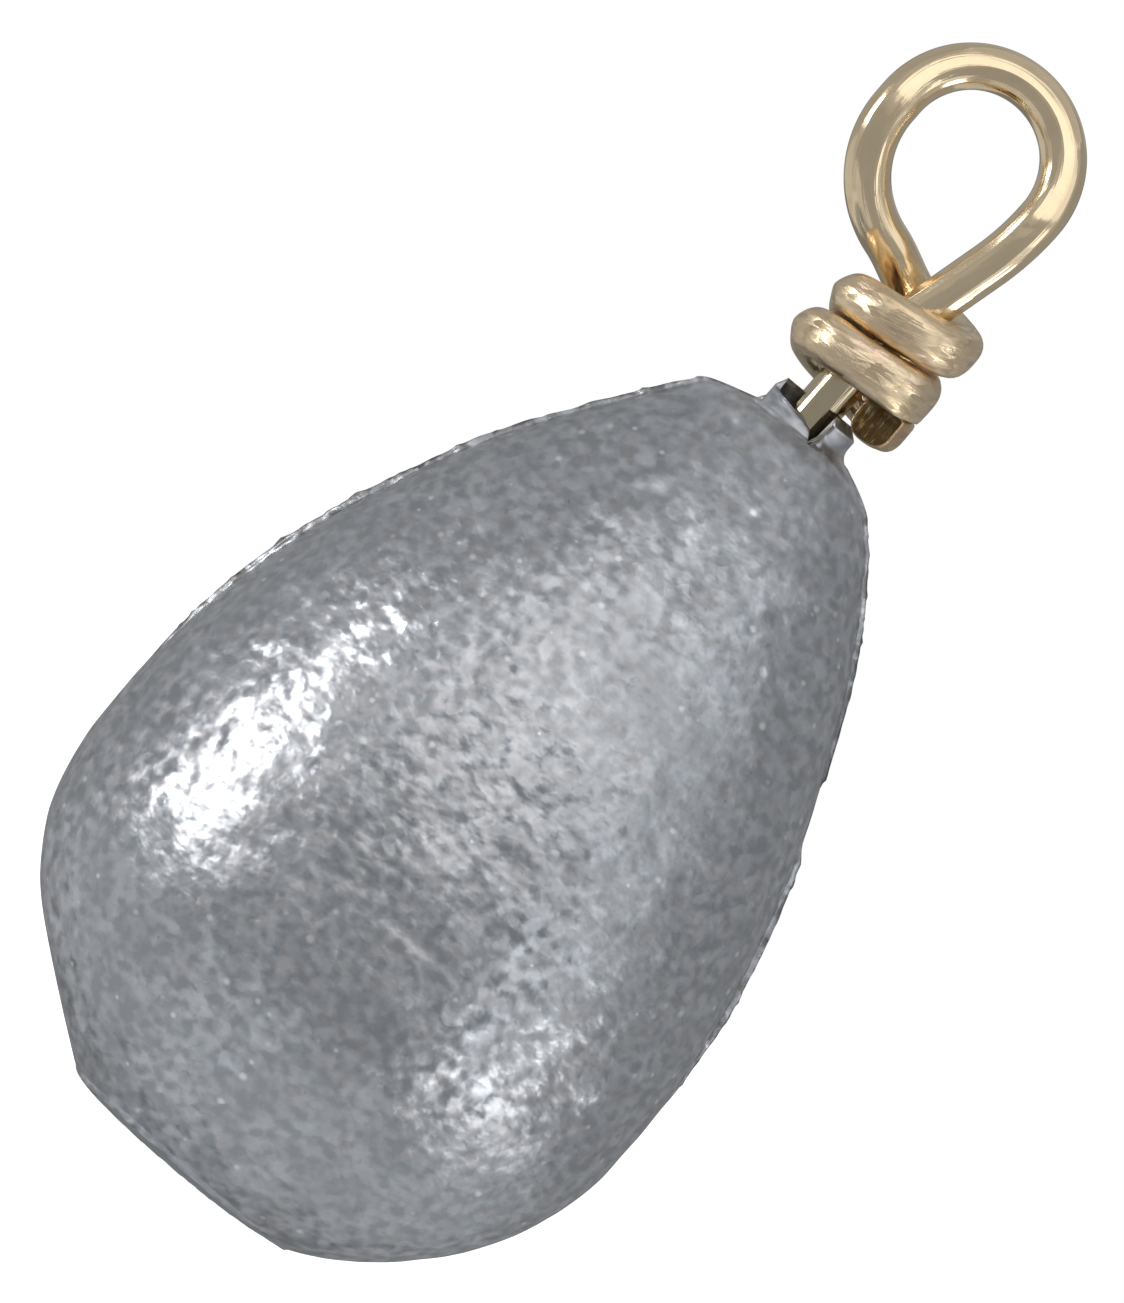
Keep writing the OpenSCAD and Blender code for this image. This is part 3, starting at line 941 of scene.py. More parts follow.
def drawn_brass(w, total):
    """Drawn brass wire, bright along the loop, and rubbed, dull and mottled where it was wrapped."""
    material = bpy.data.materials.new("drawn_brass")
    tree = emptied(material)
    straight = add(tree, "ShaderNodeAttribute", attribute_name="straight").outputs["Vector"]
    worked = add(tree, "ShaderNodeAttribute", attribute_name="worked").outputs["Fac"]
    place, facing = surface(tree)
    along = vectors(tree, "MULTIPLY", straight, (1.0, 1.0, 0.36))
    # Each tarnish has its patches elsewhere
    along_rose = vectors(tree, "ADD", along, (0.01, 0.0, 0.0))
    along_olive = vectors(tree, "ADD", along, (0.0, 0.02, 0.0))
    drawing = use_group(tree, "Lines", place=straight, stretch=(1.0, 1.0, 0.04), size=0.11 * MM, cover=0.45)
    rubbed = use_group(tree, "Patches", place=straight, size=1.1 * MM, cover=0.5, edge=0.14)
    mottle = use_group(tree, "Patches", place=along, size=0.26 * MM, cover=0.5, edge=0.1)
    rose = use_group(tree, "Patches", place=along_rose, size=0.3 * MM, cover=0.42, edge=0.1)
    olive = use_group(tree, "Patches", place=along_olive, size=0.34 * MM, cover=0.4, edge=0.1)
    stains = use_group(tree, "Patches", place=place, size=0.9 * MM, cover=0.34, edge=0.06)
    sparkle = use_group(tree, "Sparkle", place=along, facing=facing, size=0.13 * MM,
                        turn=ranged(tree, worked, 0.0, 1.0, 0.03, 0.3))

    dullness = plus(tree, times(tree, rubbed["Mask"], 0.3),
                    times(tree, times(tree, worked, mottle["Mask"]), 0.65), use_clamp=True)
    metal = blended(tree, dullness, rgba(w.brass), rgba(w.worn_brass))
    # The tarnish lies over the drawing lines, then the painted shade of the shank and the brown near the
    # cut, and the brown stain of the creases over all
    run = parts_of(tree, straight)[2]
    metal = coated(tree, metal, (
        (drawing["Mask"], 0.22, rgba(w.worn_brass)),
        (times(tree, worked, rose["Mask"]), 0.5, rgba(w.rose)),
        (times(tree, worked, olive["Mask"]), 0.5, rgba(w.olive)),
        # Painted shade: the olive tarnish colour darkens the shank where it sits between the collar and the
        # wraps
        (faded(tree, run, *OLIVE_SHADE_END), 0.55, rgba(w.olive)),
        # Partly stain, partly painted reflection: brown over the last millimetre before the cut
        (faded(tree, run, *(total - before for before in STAIN_AND_REFLECTION_START)), 0.6, END_STAIN_AND_REFLECTION_BROWN),
        (stains["Mask"], ranged(tree, worked, 0.0, 1.0, 0.1, 0.4), rgba(w.stain))))

    dulled = times(tree, worked, ranged(tree, mottle["Value"], 0.25, 0.75, 0.12, 0.32))
    rough = plus(tree, ranged(tree, rubbed["Value"], 0.25, 0.75, 0.07, 0.17), dulled)
    relief = plus(tree, times(tree, drawing["Value"], 0.5),
                  times(tree, mottle["Value"], times(tree, worked, 1.2)))
    finish_metal(tree, metal, rough, bumped(tree, relief, sparkle["Normal"], 0.03 * MM), 1.0)
    return material


def nipped_brass():
    """The wire's cut end, torn and stained brown, and painted dark for the shade that lies on it."""
    material = bpy.data.materials.new("nipped_brass")
    tree = emptied(material)
    place, facing = surface(tree)
    comb = use_group(tree, "Lines", place=place, stretch=(1.0, 1.0, 0.1), size=0.08 * MM, cover=0.5)
    stains = use_group(tree, "Patches", place=place, size=0.4 * MM, cover=0.55, edge=0.12)
    sparkle = use_group(tree, "Sparkle", place=place, facing=facing, size=0.12 * MM, turn=0.3)
    # Painted shade: dark brass with darker stains, for the shade that lies on the cut face
    metal = blended(tree, stains["Mask"], TORN_BRASS_IN_SHADE, TORN_STAIN_IN_SHADE)
    rough = ranged(tree, comb["Value"], 0.2, 0.8, 0.35, 0.6)
    finish_metal(tree, metal, rough, bumped(tree, comb["Value"], sparkle["Normal"], 0.04 * MM), 1.0)
    return material


# The wire's path follows the frame's source. The wraps start a quarter turn behind the right side.
WRAP_START = -0.25
START_SLOPE = 0.25
# Points along the wraps, each arc of the loop and the crossing behind the leg
WRAP_POINTS = 900
ARC_POINTS = 120
CROSSING_POINTS = 200
# How far the tool pushed the wraps up or down, as turn and rise in millimetres
WRAP_RISE = ((-0.25, 0), (0, 0), (0.25, -0.11), (0.5, 0), (0.75, -0.06), (1.0, -0.127), (1.25, -0.03),
             (1.5, 0.06), (1.75, 0.05), (2.0, 0.06), (2.1, 0.08))
# How steeply the wraps lie, and half of the gap that stays between two turns
WRAP_SLOPE = math.radians(8)
HALF_GAP = 0.02 * MM
# Turns at which the tool pinched the wraps' left ends, and at which it squeezed their right ends
PINCHED_TURNS = (0.52, 1.52)
SQUEEZED_TURNS = (1.0, 2.0)
# The last turn bulges out at this turn, over this many turns, by this much
BULGE_TURN = 1.93
BULGE_SPAN = 0.12
BULGE = 0.06 * MM
# The wire's end goes in against the shank from this many turns before its end, over that many turns
PRESS_START = 0.14
PRESS_SPAN = 0.085
# How much the tool rubbed the wire before the wraps, over what length, and how soon in the wraps it is
# fully worked, in turns
RUBBED_SHARE = 0.6
RUBBED_RUN = 2 * MM
WORKED_SPAN = 0.3
# Height over which the loop's lean sets in
KINK_SOFTNESS = 0.2 * MM
# Heights of the lumps that drawing and wrapping left on the wire, and how far its skin lies inside the round
DRAWN_LUMPS = 0.005 * MM
WRAPPED_LUMPS = 0.013 * MM
SKIN_INSET = 0.006 * MM
# Length over which the wire's end slants into the plane of the cut
SLANT_RUN = 0.6 * MM
# Nick across the front of the loop's right leg: ends, as distance to the right and height in millimetres
NICK = ((0.82, 27.78), (1.02, 27.98))
NICK_DEPTH = 0.014 * MM
NICK_WIDTH = 0.07 * MM
# Rings that close the wire's ends, as shares of its radius, and the ridge that the nippers left on the cut
END_SHARES = (0.8, 0.5, 0.2)
END_RIDGE = 0.04 * MM
# The frame's wire is a faceted tube that stands this much outside the round wire
FRAME_FACETS = 1.005 / math.cos(math.pi / 16)


def arc(middle, radius, start, end):
    """Points of an arc, as distance to the right and height."""
    angles = np.linspace(start, end, ARC_POINTS)
    return np.column_stack((middle[0] + radius * np.cos(angles), middle[1] + radius * np.sin(angles)))


def wrap_rise(turn):
    """How far the wrap at a turn sits above its even slope."""
    steps = np.array(WRAP_RISE)
    turn = np.clip(turn, steps[0, 0], steps[-1, 0])
    after = np.clip(np.searchsorted(steps[:, 0], turn), 1, len(steps) - 1)
    low, high = steps[after - 1], steps[after]
    share = eased((turn - low[..., 0]) / (high[..., 0] - low[..., 0]))
    return (low[..., 1] + (high[..., 1] - low[..., 1]) * share) * MM


def pitch_ease(w):
    """Half of what the pitch loses from one turn to the next."""
    return (w.first_pitch - w.last_pitch) / (2 * w.wrap_turns)


def wrap_radius(w):
    """Radius on which the first turn goes round the leg."""
    return w.wire_width + w.wrap_gap


def wrap_line(w):
    """Middle line of the wraps and the turn at each point, with heights from the foot of the leg's bend."""
    # The wraps lean with the leg from the corner that its bend rounds off
    corner = w.leg_bend * math.tan(w.leg_lean / 2)
    start_ease = w.first_pitch * (1 - START_SLOPE) / (2 * WRAP_START)
    turns = np.linspace(WRAP_START, w.wrap_turns - w.end_trim, WRAP_POINTS)
    fall = w.first_pitch * turns - np.where(turns < 0, start_ease, pitch_ease(w)) * turns ** 2
    settled = eased(turns)
    height = corner + w.leg_drop - fall + wrap_rise(turns)
    around = -2 * math.pi * turns
    radius = (wrap_radius(w) + w.wrap_spring * settled + BULGE * bell(turns - BULGE_TURN, BULGE_SPAN)
              - w.tail_press * eased((turns - w.wrap_turns + PRESS_START) / PRESS_SPAN))
    middle = np.maximum(0, height - corner) * math.tan(w.leg_lean) + w.wrap_shift * settled
    return np.column_stack((middle + radius * np.cos(around), radius * np.sin(around), height)), turns


def loop_lines(w):
    """The loop seen from in front: up its right leg to the top, and down its left side and closing arc."""
    lean = w.leg_lean
    bending = arc((w.leg_bend, 0), -w.leg_bend, 0, -lean)
    leg_end = bending[-1] + w.leg_length * np.array((math.sin(lean), math.cos(lean)))
    top_middle = leg_end + w.leg_top * np.array((-math.cos(lean), math.sin(lean)))
    straighten = arc(top_middle, w.leg_top, -lean, 0)
    loop_middle = top_middle + (w.leg_top - w.loop_radius, 0)
    rising = arc(loop_middle, w.loop_radius, 0, math.pi / 2)
    falling = arc(loop_middle, w.loop_radius, math.pi / 2, math.pi)
    close_middle = loop_middle + (w.close_radius - w.loop_radius, -w.loop_side)
    closing = arc(close_middle, w.close_radius, math.pi, math.pi + w.close_turn)
    return np.concatenate((bending, straighten, rising)), np.concatenate((falling, closing))


def crossing_line(w, leave, enter):
    """The curve behind the leg, seen from in front, that leaves the loop and enters the wraps."""
    handle = np.linalg.norm(enter - leave) / 3
    slope = math.atan(START_SLOPE * w.first_pitch / (2 * math.pi * wrap_radius(w)))
    leaving = leave + handle * np.array((math.sin(w.close_turn), -math.cos(w.close_turn)))
    arriving = enter - handle * np.array((math.cos(slope), -math.sin(slope)))
    t = np.linspace(0, 1, CROSSING_POINTS)[1:-1, None]
    return ((1 - t) ** 3 * leave + 3 * t * (1 - t) ** 2 * leaving
            + 3 * t ** 2 * (1 - t) * arriving + t ** 3 * enter)


def wire_route(w):
    """Middle line of the wire, from the foot of its leg, round the loop and down the wraps, the turn that
    each point is at, and how much the wrapping tool worked it."""
    wraps, turns = wrap_line(w)
    front, back = loop_lines(w)
    enter = wraps[0, ::2]
    back = np.concatenate((back, crossing_line(w, back[-1], enter)))
    run = run_of(np.concatenate((back, [enter])))
    behind = wrap_radius(w) * eased((run - w.behind_lag) / (run[-1] - w.behind_lag))[:-1]
    path = np.concatenate((
        np.column_stack((front[:, 0], np.zeros(len(front)), front[:, 1])),
        np.column_stack((back[:, 0], behind, back[:, 1])), wraps))
    # The loop's top is moved to the height that it has in the frame
    path[:, 2] += EYE_HIGH.z - w.wire_width / 2 * FRAME_FACETS - path[:, 2].max()
    start = len(path) - len(wraps)
    path[:start, 1] += ramp(path[:start, 2] - w.kink_height, KINK_SOFTNESS) * math.tan(w.lean_back)

    run = run_of(path[:start])
    worked = np.concatenate((RUBBED_SHARE * eased((run - run[-1] + RUBBED_RUN) / RUBBED_RUN),
                             eased((turns - WRAP_START) / WORKED_SPAN)))
    at_turn = np.concatenate((np.full(start, WRAP_START), turns))
    keep = np.concatenate(([True], np.linalg.norm(np.diff(path, axis=0), axis=1) > 1e-7))
    return path[keep], at_turn[keep], worked[keep]


def wrap_halves(w, turn):
    """Half widths of the pressed wire above and below its middle line, so that turns just meet."""

    def apart(upper):
        """Distance of a turn from the one under it."""
        even = w.first_pitch - pitch_ease(w) * (2 * upper + 1)
        return (even + wrap_rise(upper) - wrap_rise(upper + 1)) * math.cos(WRAP_SLOPE)

    def met(free, distance, meets):
        """A free half width, which becomes half of the distance between turns where they meet."""
        return free + (np.minimum(distance / 2 - HALF_GAP, w.wrap_width / 2) - free) * meets

    half = w.wire_width / 2
    below = half + 0.04 * MM * bell(turn - 1.25, 0.2) - 0.03 * MM * bell(turn - 2.05, 0.1)
    above = half + 0.05 * MM * bell(turn - 0.25, 0.15)
    return (met(above, apart(turn - 1), eased((turn - 1) / 0.1 + 1.5)),
            met(below, apart(turn), eased((w.wrap_turns - turn - 1) / 0.1 + 0.6)))


def wire_line(w):
    """The wire's middle line with its head and shank: points, thickness, turn and worked share."""
    path, at_turn, worked = wire_route(w)
    run = run_of(path)
    even = np.linspace(0, run[-1], round(run[-1] / w.point_step) + 1)
    # The last rings lie close, and narrow towards the cut
    even = np.concatenate((even[:-1], run[-1] - np.array((0.04, 0.012, 0)) * MM))
    bent = np.column_stack([np.interp(even, run, line) for line in path.T])
    bent_turn = np.interp(even, run, at_turn)
    bent_worked = np.interp(even, run, worked)
    bent_thick = np.ones(len(bent))
    bent_thick[-3:] = (1.0, 0.985, 0.93)

    # The upset head is a round button, and the shank rises from it
    share = w.head_width / w.wire_width
    edge = w.head_height / 3
    curve = np.linspace(0, math.pi / 2, 6)
    head = [(edge * (1 - math.cos(a)), share - edge / (w.wire_width / 2) * (1 - math.sin(a))) for a in curve]
    head += [(w.head_height - h, thick) for h, thick in reversed(head)]
    shank = np.arange(w.head_height + 0.02 * MM, path[0, 2] - EYE_LOW.z - w.point_step / 2, w.point_step * 2)
    head += [(h, 1.0) for h in shank]
    head = np.array(head)
    straight = np.column_stack((np.zeros(len(head)), np.zeros(len(head)), EYE_LOW.z + head[:, 0]))
    return (np.concatenate((straight, bent)), np.concatenate((head[:, 1], bent_thick)),
            np.concatenate((np.full(len(head), WRAP_START), bent_turn)),
            np.concatenate((np.zeros(len(head)), bent_worked)))


def pressed(w, path, at_turn, out):
    """The points' ways out from the middle line, once the wraps are pressed flat by their tool."""
    heading = np.gradient(path, axis=0)
    heading /= np.linalg.norm(heading, axis=1)[:, None]
    up = np.array((0.0, 0.0, 1.0)) - heading * heading[:, 2:]
    up /= np.maximum(np.linalg.norm(up, axis=1), 1e-6)[:, None]
    aside = np.cross(heading, up)
    share = eased((at_turn - WRAP_START) / 0.25)
    # A lower power makes the section pointed, and a higher one makes it square
    pinch = 1.15 * sum(bell(at_turn - turn, 0.07) for turn in PINCHED_TURNS)
    squeeze = 12.0 * sum(bell(at_turn - turn, 0.12) for turn in SQUEEZED_TURNS)
    above, below = wrap_halves(w, at_turn)

    # From here on there is a value for every point of each ring
    up, aside, share, pinch, squeeze, above, below, at_turn = (
        np.repeat(each, w.sides, axis=0)
        for each in (up, aside, share, pinch, squeeze, above, below, at_turn))
    rise, side = (out * up).sum(axis=1), (out * aside).sum(axis=1)
    reach = np.maximum(np.hypot(rise, side), 1e-9)
    power = 2 + 0.65 * share - pinch + np.where((rise < 0) == (at_turn < 1.5), squeeze, 0)
    square = np.abs(rise / reach) ** power + np.abs(side / reach) ** power
    square = np.maximum(square, 1e-6) ** (-1 / power)
    half = np.where(rise > 0, above, below) / (w.wire_width / 2)
    tall = 1 + (half - 1) * share
    thin = 1 + (w.wrap_thickness / w.wire_width - 1) * share
    return (rise * tall * square)[:, None] * up + (side * thin * square)[:, None] * aside


def sweep_tree():
    """Geometry nodes that sweep a round wire along a line of points."""
    tree = bpy.data.node_groups.new("Swept Wire", "GeometryNodeTree")
    for label, kind in (("Path", "NodeSocketGeometry"), ("Wire Radius", VALUE),
                        ("Sides", "NodeSocketInt"), ("Finish", "NodeSocketMaterial")):
        tree.interface.new_socket(label, in_out="INPUT", socket_type=kind)
    tree.interface.new_socket("Wire", in_out="OUTPUT", socket_type="NodeSocketGeometry")
    given = tree.nodes.new("NodeGroupInput").outputs

    def stored(geometry, name, value):
        return add(tree, "GeometryNodeStoreNamedAttribute",
                   {"Geometry": geometry, "Name": name, "Value": value},
                   data_type="FLOAT_VECTOR", domain="POINT").outputs[0]

    def named(name, data_type):
        return add(tree, "GeometryNodeInputNamedAttribute", {"Name": name}, data_type=data_type).outputs[0]

    line = add(tree, "GeometryNodeMeshToCurve", {0: given["Path"]}).outputs[0]
    ring = add(tree, "GeometryNodeCurvePrimitiveCircle",
               {"Resolution": given["Sides"], "Radius": given["Wire Radius"]}).outputs[0]
    ring = stored(ring, "ring", add(tree, "GeometryNodeInputPosition").outputs[0])
    wire = add(tree, "GeometryNodeCurveToMesh", {
        "Curve": line, "Profile Curve": ring, "Scale": named("thickness", "FLOAT"),
        "Fill Caps": False}).outputs[0]
    # Where each point would lie if the wire were straight
    along = add(tree, "ShaderNodeCombineXYZ", {2: named("along", "FLOAT")}).outputs[0]
    wire = stored(wire, "straight", vectors(tree, "ADD", named("ring", "FLOAT_VECTOR"), along))
    wire = add(tree, "GeometryNodeSetShadeSmooth", {0: wire}).outputs[0]
    wire = add(tree, "GeometryNodeRealizeInstances", {0: wire}).outputs[0]
    wire = add(tree, "GeometryNodeSetMaterial", {"Geometry": wire, "Material": given["Finish"]}).outputs[0]
    tree.links.new(wire, tree.nodes.new("NodeGroupOutput").inputs[0])
    return tree


def apply_tree(piece, tree, values):
    """Runs a tree on a piece with its inputs set, and keeps the result as the piece's plain mesh."""
    modifier = piece.modifiers.new("Shape", "NODES")
    modifier.node_group = tree
    for item in tree.interface.items_tree:
        if item.in_out == "INPUT" and item.name in values:
            modifier[item.identifier] = values[item.name]
    graph = bpy.context.evaluated_depsgraph_get()
    mesh = bpy.data.meshes.new_from_object(piece.evaluated_get(graph))
    piece.modifiers.remove(modifier)
    piece.data = mesh
    mesh.name = piece.name
    return mesh


def read_values(items, name, size):
    """One value of every item, as rows of that size."""
    values = np.empty(len(items) * size)
    items.foreach_get(name, values)
    return values.reshape(-1, size)


def flat_end(ring):
    """Rings and middle that close the head's flat end."""
    ground = np.full(len(ring), EYE_LOW.z)
    rings = [np.column_stack((ring[:, :2] * share, ground)) for share in END_SHARES]
    return rings, np.array((0, 0, EYE_LOW.z))


def nipped_end(ring, way):
    """Rings and middle that close the cut end with the low ridge of the nippers."""
    way = way / np.linalg.norm(way)
    middle = ring.mean(axis=0)
    across = ring - middle
    reach = np.linalg.norm(across, axis=1).max()
    side = np.cross(way, (0, 0, 1))
    side = side / np.linalg.norm(side)
    rings = []
    for share in END_SHARES:
        off = np.abs(across @ side) * share
        ridge = END_RIDGE * (1 - off / reach) * min(1, 1.6 * (1 - share))
        rings.append(middle + across * share + np.outer(ridge, way))
    return rings, middle + way * END_RIDGE


def ring_faces(outer, inner):
    """Faces from one ring's points to the next ring's, or to the one point that closes it."""
    faces = []
    for k in range(len(outer)):
        after = (k + 1) % len(outer)
        if len(inner) == 1:
            faces.append((outer[k], outer[after], inner[0]))
        else:
            faces.append((outer[k], outer[after], inner[after], inner[k]))
    return faces


class SINKER_OT_wire(bpy.types.Operator):
    """Makes the swivel wire as one swept piece: head, shank, loop and wraps"""
    bl_idname = "sinker.wire"
    bl_label = "Swivel Wire"

    def execute(self, context):
        w = context.scene.swivel_wire
        make_effects()
        path, thickness, at_turn, worked = wire_line(w)
        run = run_of(path)
        brass = drawn_brass(w, run[-1])
        line = bpy.data.meshes.new("wire_line")
        line.from_pydata(path.tolist(), [(i, i + 1) for i in range(len(path) - 1)], [])
        for name, values in (("thickness", thickness), ("along", run), ("worked", worked)):
            line.attributes.new(name, "FLOAT", "POINT").data.foreach_set("value", values)
        piece = bpy.data.objects.new("swivel_wire", line)
        context.scene.collection.objects.link(piece)
        mesh = apply_tree(piece, sweep_tree(), {
            "Wire Radius": w.wire_width / 2, "Sides": w.sides, "Finish": brass})
        straight = read_values(mesh.attributes["straight"].data, "vector", 3)
        worked = read_values(mesh.attributes["worked"].data, "value", 1)
        points = self.shaped(mesh, w, path, at_turn, straight, worked[:, 0])
        self.close_ends(mesh, path, points, straight, worked, w.sides, (brass, nipped_brass()))
        self.face_outwards(mesh)
        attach(piece, "swivel")
        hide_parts("swivel_eye")
        return {"FINISHED"}

    def shaped(self, mesh, w, path, at_turn, straight, worked):
        """The swept wire's points, once the wraps are pressed, the end is cut and the skin is uneven."""
        points = read_values(mesh.vertices, "co", 3)
        off_line = np.linalg.norm(points[:w.sides].mean(axis=0) - path[0])
        if len(points) != len(path) * w.sides or off_line > 0.1 * MM:
            raise RuntimeError("the swept wire's rings aren't in the path's order")
        middle = np.repeat(path, w.sides, axis=0)
        out = points - middle
        bent = np.repeat(at_turn > WRAP_START, w.sides)
        out[bent] = pressed(w, path, at_turn, out)[bent]
        self.slant_end(w, path, out)
        points = middle + out
        out /= np.maximum(np.linalg.norm(out, axis=1), 1e-9)[:, None]
        lift = (DRAWN_LUMPS * lumps(straight * (1, 1, 0.4), 0.8 * MM, 1.7)
                + WRAPPED_LUMPS * worked * lumps(points, 0.55 * MM, 6.1)
                - SKIN_INSET - self.nick_depth(points))
        return points + out * lift[:, None]

    def nick_depth(self, points):
        """How deep the nick goes at each point."""
        start, end = np.array(NICK) * MM
        way = end - start
        flat = points[:, ::2] - start
        share = np.clip(flat @ way / (way @ way), 0, 1)
        off = np.linalg.norm(flat - share[:, None] * way, axis=1)
        return np.where(points[:, 1] < 0, NICK_DEPTH * bell(off, NICK_WIDTH), 0)

    def slant_end(self, w, path, out):
        """Slants the last rings, so that the cut end lies in the cutter's plane."""
        heading = path[-1] - path[-2]
        heading /= np.linalg.norm(heading)
        plane = np.array((-math.sin(w.cut_turn), -math.cos(w.cut_turn), 0.0))
        run = run_of(path)
        share = np.repeat(eased(1 - (run[-1] - run) / SLANT_RUN), w.sides)
        out -= (share * (out @ plane) / (heading @ plane))[:, None] * heading

    def close_ends(self, mesh, path, points, straight, worked, sides, finishes):
        """Builds the wire anew from its points, with its head's flat end and its nipped end closed."""
        faces = [tuple(face.vertices) for face in mesh.polygons]
        cut = [0] * len(faces)
        last = len(points) - sides
        rows, straights, workeds = [points], [straight], [worked]
        total = len(points)
        for first, finish, (rings, middle) in (
                (0, 0, flat_end(points[:sides])),
                (last, 1, nipped_end(points[last:], path[-1] - path[-2]))):
            outer = range(first, first + sides)
            for ring in rings + [middle[None, :]]:
                rows.append(ring)
                straights.append(np.repeat(straight[first:first + 1], len(ring), axis=0))
                workeds.append(np.repeat(worked[first:first + 1], len(ring), axis=0))
                inner = range(total, total + len(ring))
                total += len(ring)
                faces += ring_faces(outer, inner)
                cut += [finish] * sides
                outer = inner
        mesh.clear_geometry()
        mesh.from_pydata(np.concatenate(rows).tolist(), [], faces)
        for name, kind, part, values in (("straight", "FLOAT_VECTOR", "vector", straights),
                                         ("worked", "FLOAT", "value", workeds)):
            mesh.attributes.new(name, kind, "POINT").data.foreach_set(part, np.concatenate(values).ravel())
        mesh.materials.clear()
        for material in finishes:
            mesh.materials.append(material)
        finish_faces(mesh, cut)

    def face_outwards(self, mesh):
        """Turns the closed wire's faces outwards."""
        shell = bmesh.new()
        shell.from_mesh(mesh)
        bmesh.ops.recalc_face_normals(shell, faces=shell.faces)
        shell.to_mesh(mesh)
        shell.free()
        mesh.update()


# Stage

AIM = Vector((0, 0, 11 * MM))

# How far the lamps, the bright windows and the grey cards behind them stand off, in metres
LAMP_DISTANCE = 0.3
WINDOW_DISTANCE = 0.4
CARD_DISTANCE = 0.41

# Points along each side of a curved card
CARD_STEPS = 13

# The daylight of the windows is a little warm
DAYLIGHT = (1.0, 0.97, 0.945, 1.0)

# The floor's reach from the middle in metres, its depth under the sinker, and how far it glows of itself
FLOOR_REACH = 1.5
FLOOR_DEPTH = 0.01 * MM
FLOOR_GLOW = 0.85

# Grey cards that the metal shows: azimuths and elevations in degrees, and how light they are
GREY_CARDS = (
    ((-62, 50), (-42, 9), 0.34),
    ((-45, 5), (9, 20), 0.43),
    ((5, 50), (9, 20), 0.37),
    ((-62, -45), (9, 20), 0.42),
    ((50, 70), (-24, 0), 0.7),
    ((50, 70), (0, 13), 1.3),
    ((50, 70), (13, 20), 0.5),
    ((50, 70), (-42, -24), 0.36),
    ((-180, 180), (-89, -64), 0.62),
    ((-62, 70), (-64, -42), 0.54),
    ((-62, -45), (20, 58), 0.5),
    ((34, 70), (20, 58), 0.95),
    ((-180, 180), (58, 89), 0.48),
    ((-88, -62), (13, 58), 0.4),
    ((-88, -62), (-64, -16), 0.44),
    ((70, 92), (-6, 58), 0.42),
    ((70, 92), (-64, -24), 0.46),
    ((-155, -88), (-20, 58), 0.38),
    ((-155, -88), (-64, -20), 0.55),
    ((92, 155), (-20, 58), 0.32),
    ((92, 155), (-64, -20), 0.55),
    ((155, 205), (-64, 20), 0.22),
    ((155, 205), (20, 58), 0.4),
)


def toward(azimuth, elevation):
    """Way out from the sinker: azimuth goes from the camera round to the right, in degrees."""
    azimuth, elevation = math.radians(azimuth), math.radians(elevation)
    return Vector((math.sin(azimuth) * math.cos(elevation), -math.cos(azimuth) * math.cos(elevation),
                   math.sin(elevation)))


def add_lamp(context, name, azimuth, elevation, width, brightness):
    """A soft square lamp that faces the sinker, and looks as bright from it as the number says."""
    lamp = bpy.data.lights.new(name, "AREA")
    lamp.shape = "RECTANGLE"
    lamp.size = width
    lamp.size_y = width
    lamp.energy = brightness * math.pi * width * width
    holder = bpy.data.objects.new(name, lamp)
    holder.visible_glossy = False
    way = toward(azimuth, elevation)
    holder.location = AIM + way * LAMP_DISTANCE
    holder.rotation_euler = way.to_track_quat("Z", "Y").to_euler()
    context.scene.collection.objects.link(holder)


def add_card(name, azimuths, elevations, distance, level, tint=WHITE):
    """A curved card that only the metal's reflections see."""
    points = []
    for elevation in np.linspace(*elevations, CARD_STEPS):
        for azimuth in np.linspace(*azimuths, CARD_STEPS):
            points.append(AIM + toward(azimuth, elevation) * distance)
    faces = []
    for row in range(CARD_STEPS - 1):
        for k in range(row * CARD_STEPS, (row + 1) * CARD_STEPS - 1):
            faces.append((k, k + 1, k + CARD_STEPS + 1, k + CARD_STEPS))
    material = bpy.data.materials.new(name)
    tree = emptied(material)
    glow = add(tree, "ShaderNodeEmission", {"Color": tint, "Strength": level})
    add(tree, "ShaderNodeOutputMaterial", {0: glow.outputs[0]})
    card = new_piece(name, points, faces, (material,))
    for rays in ("camera", "diffuse", "transmission", "volume_scatter", "shadow"):
        setattr(card, "visible_" + rays, False)


def seen_rays(tree):
    """1 for rays of the camera and of reflections, which see the white background."""
    rays = tree.nodes.new("ShaderNodeLightPath").outputs
    seen = sums(tree, "MAXIMUM", rays["Is Camera Ray"], rays["Is Glossy Ray"])
    return sums(tree, "MAXIMUM", seen, rays["Is Transmission Ray"])


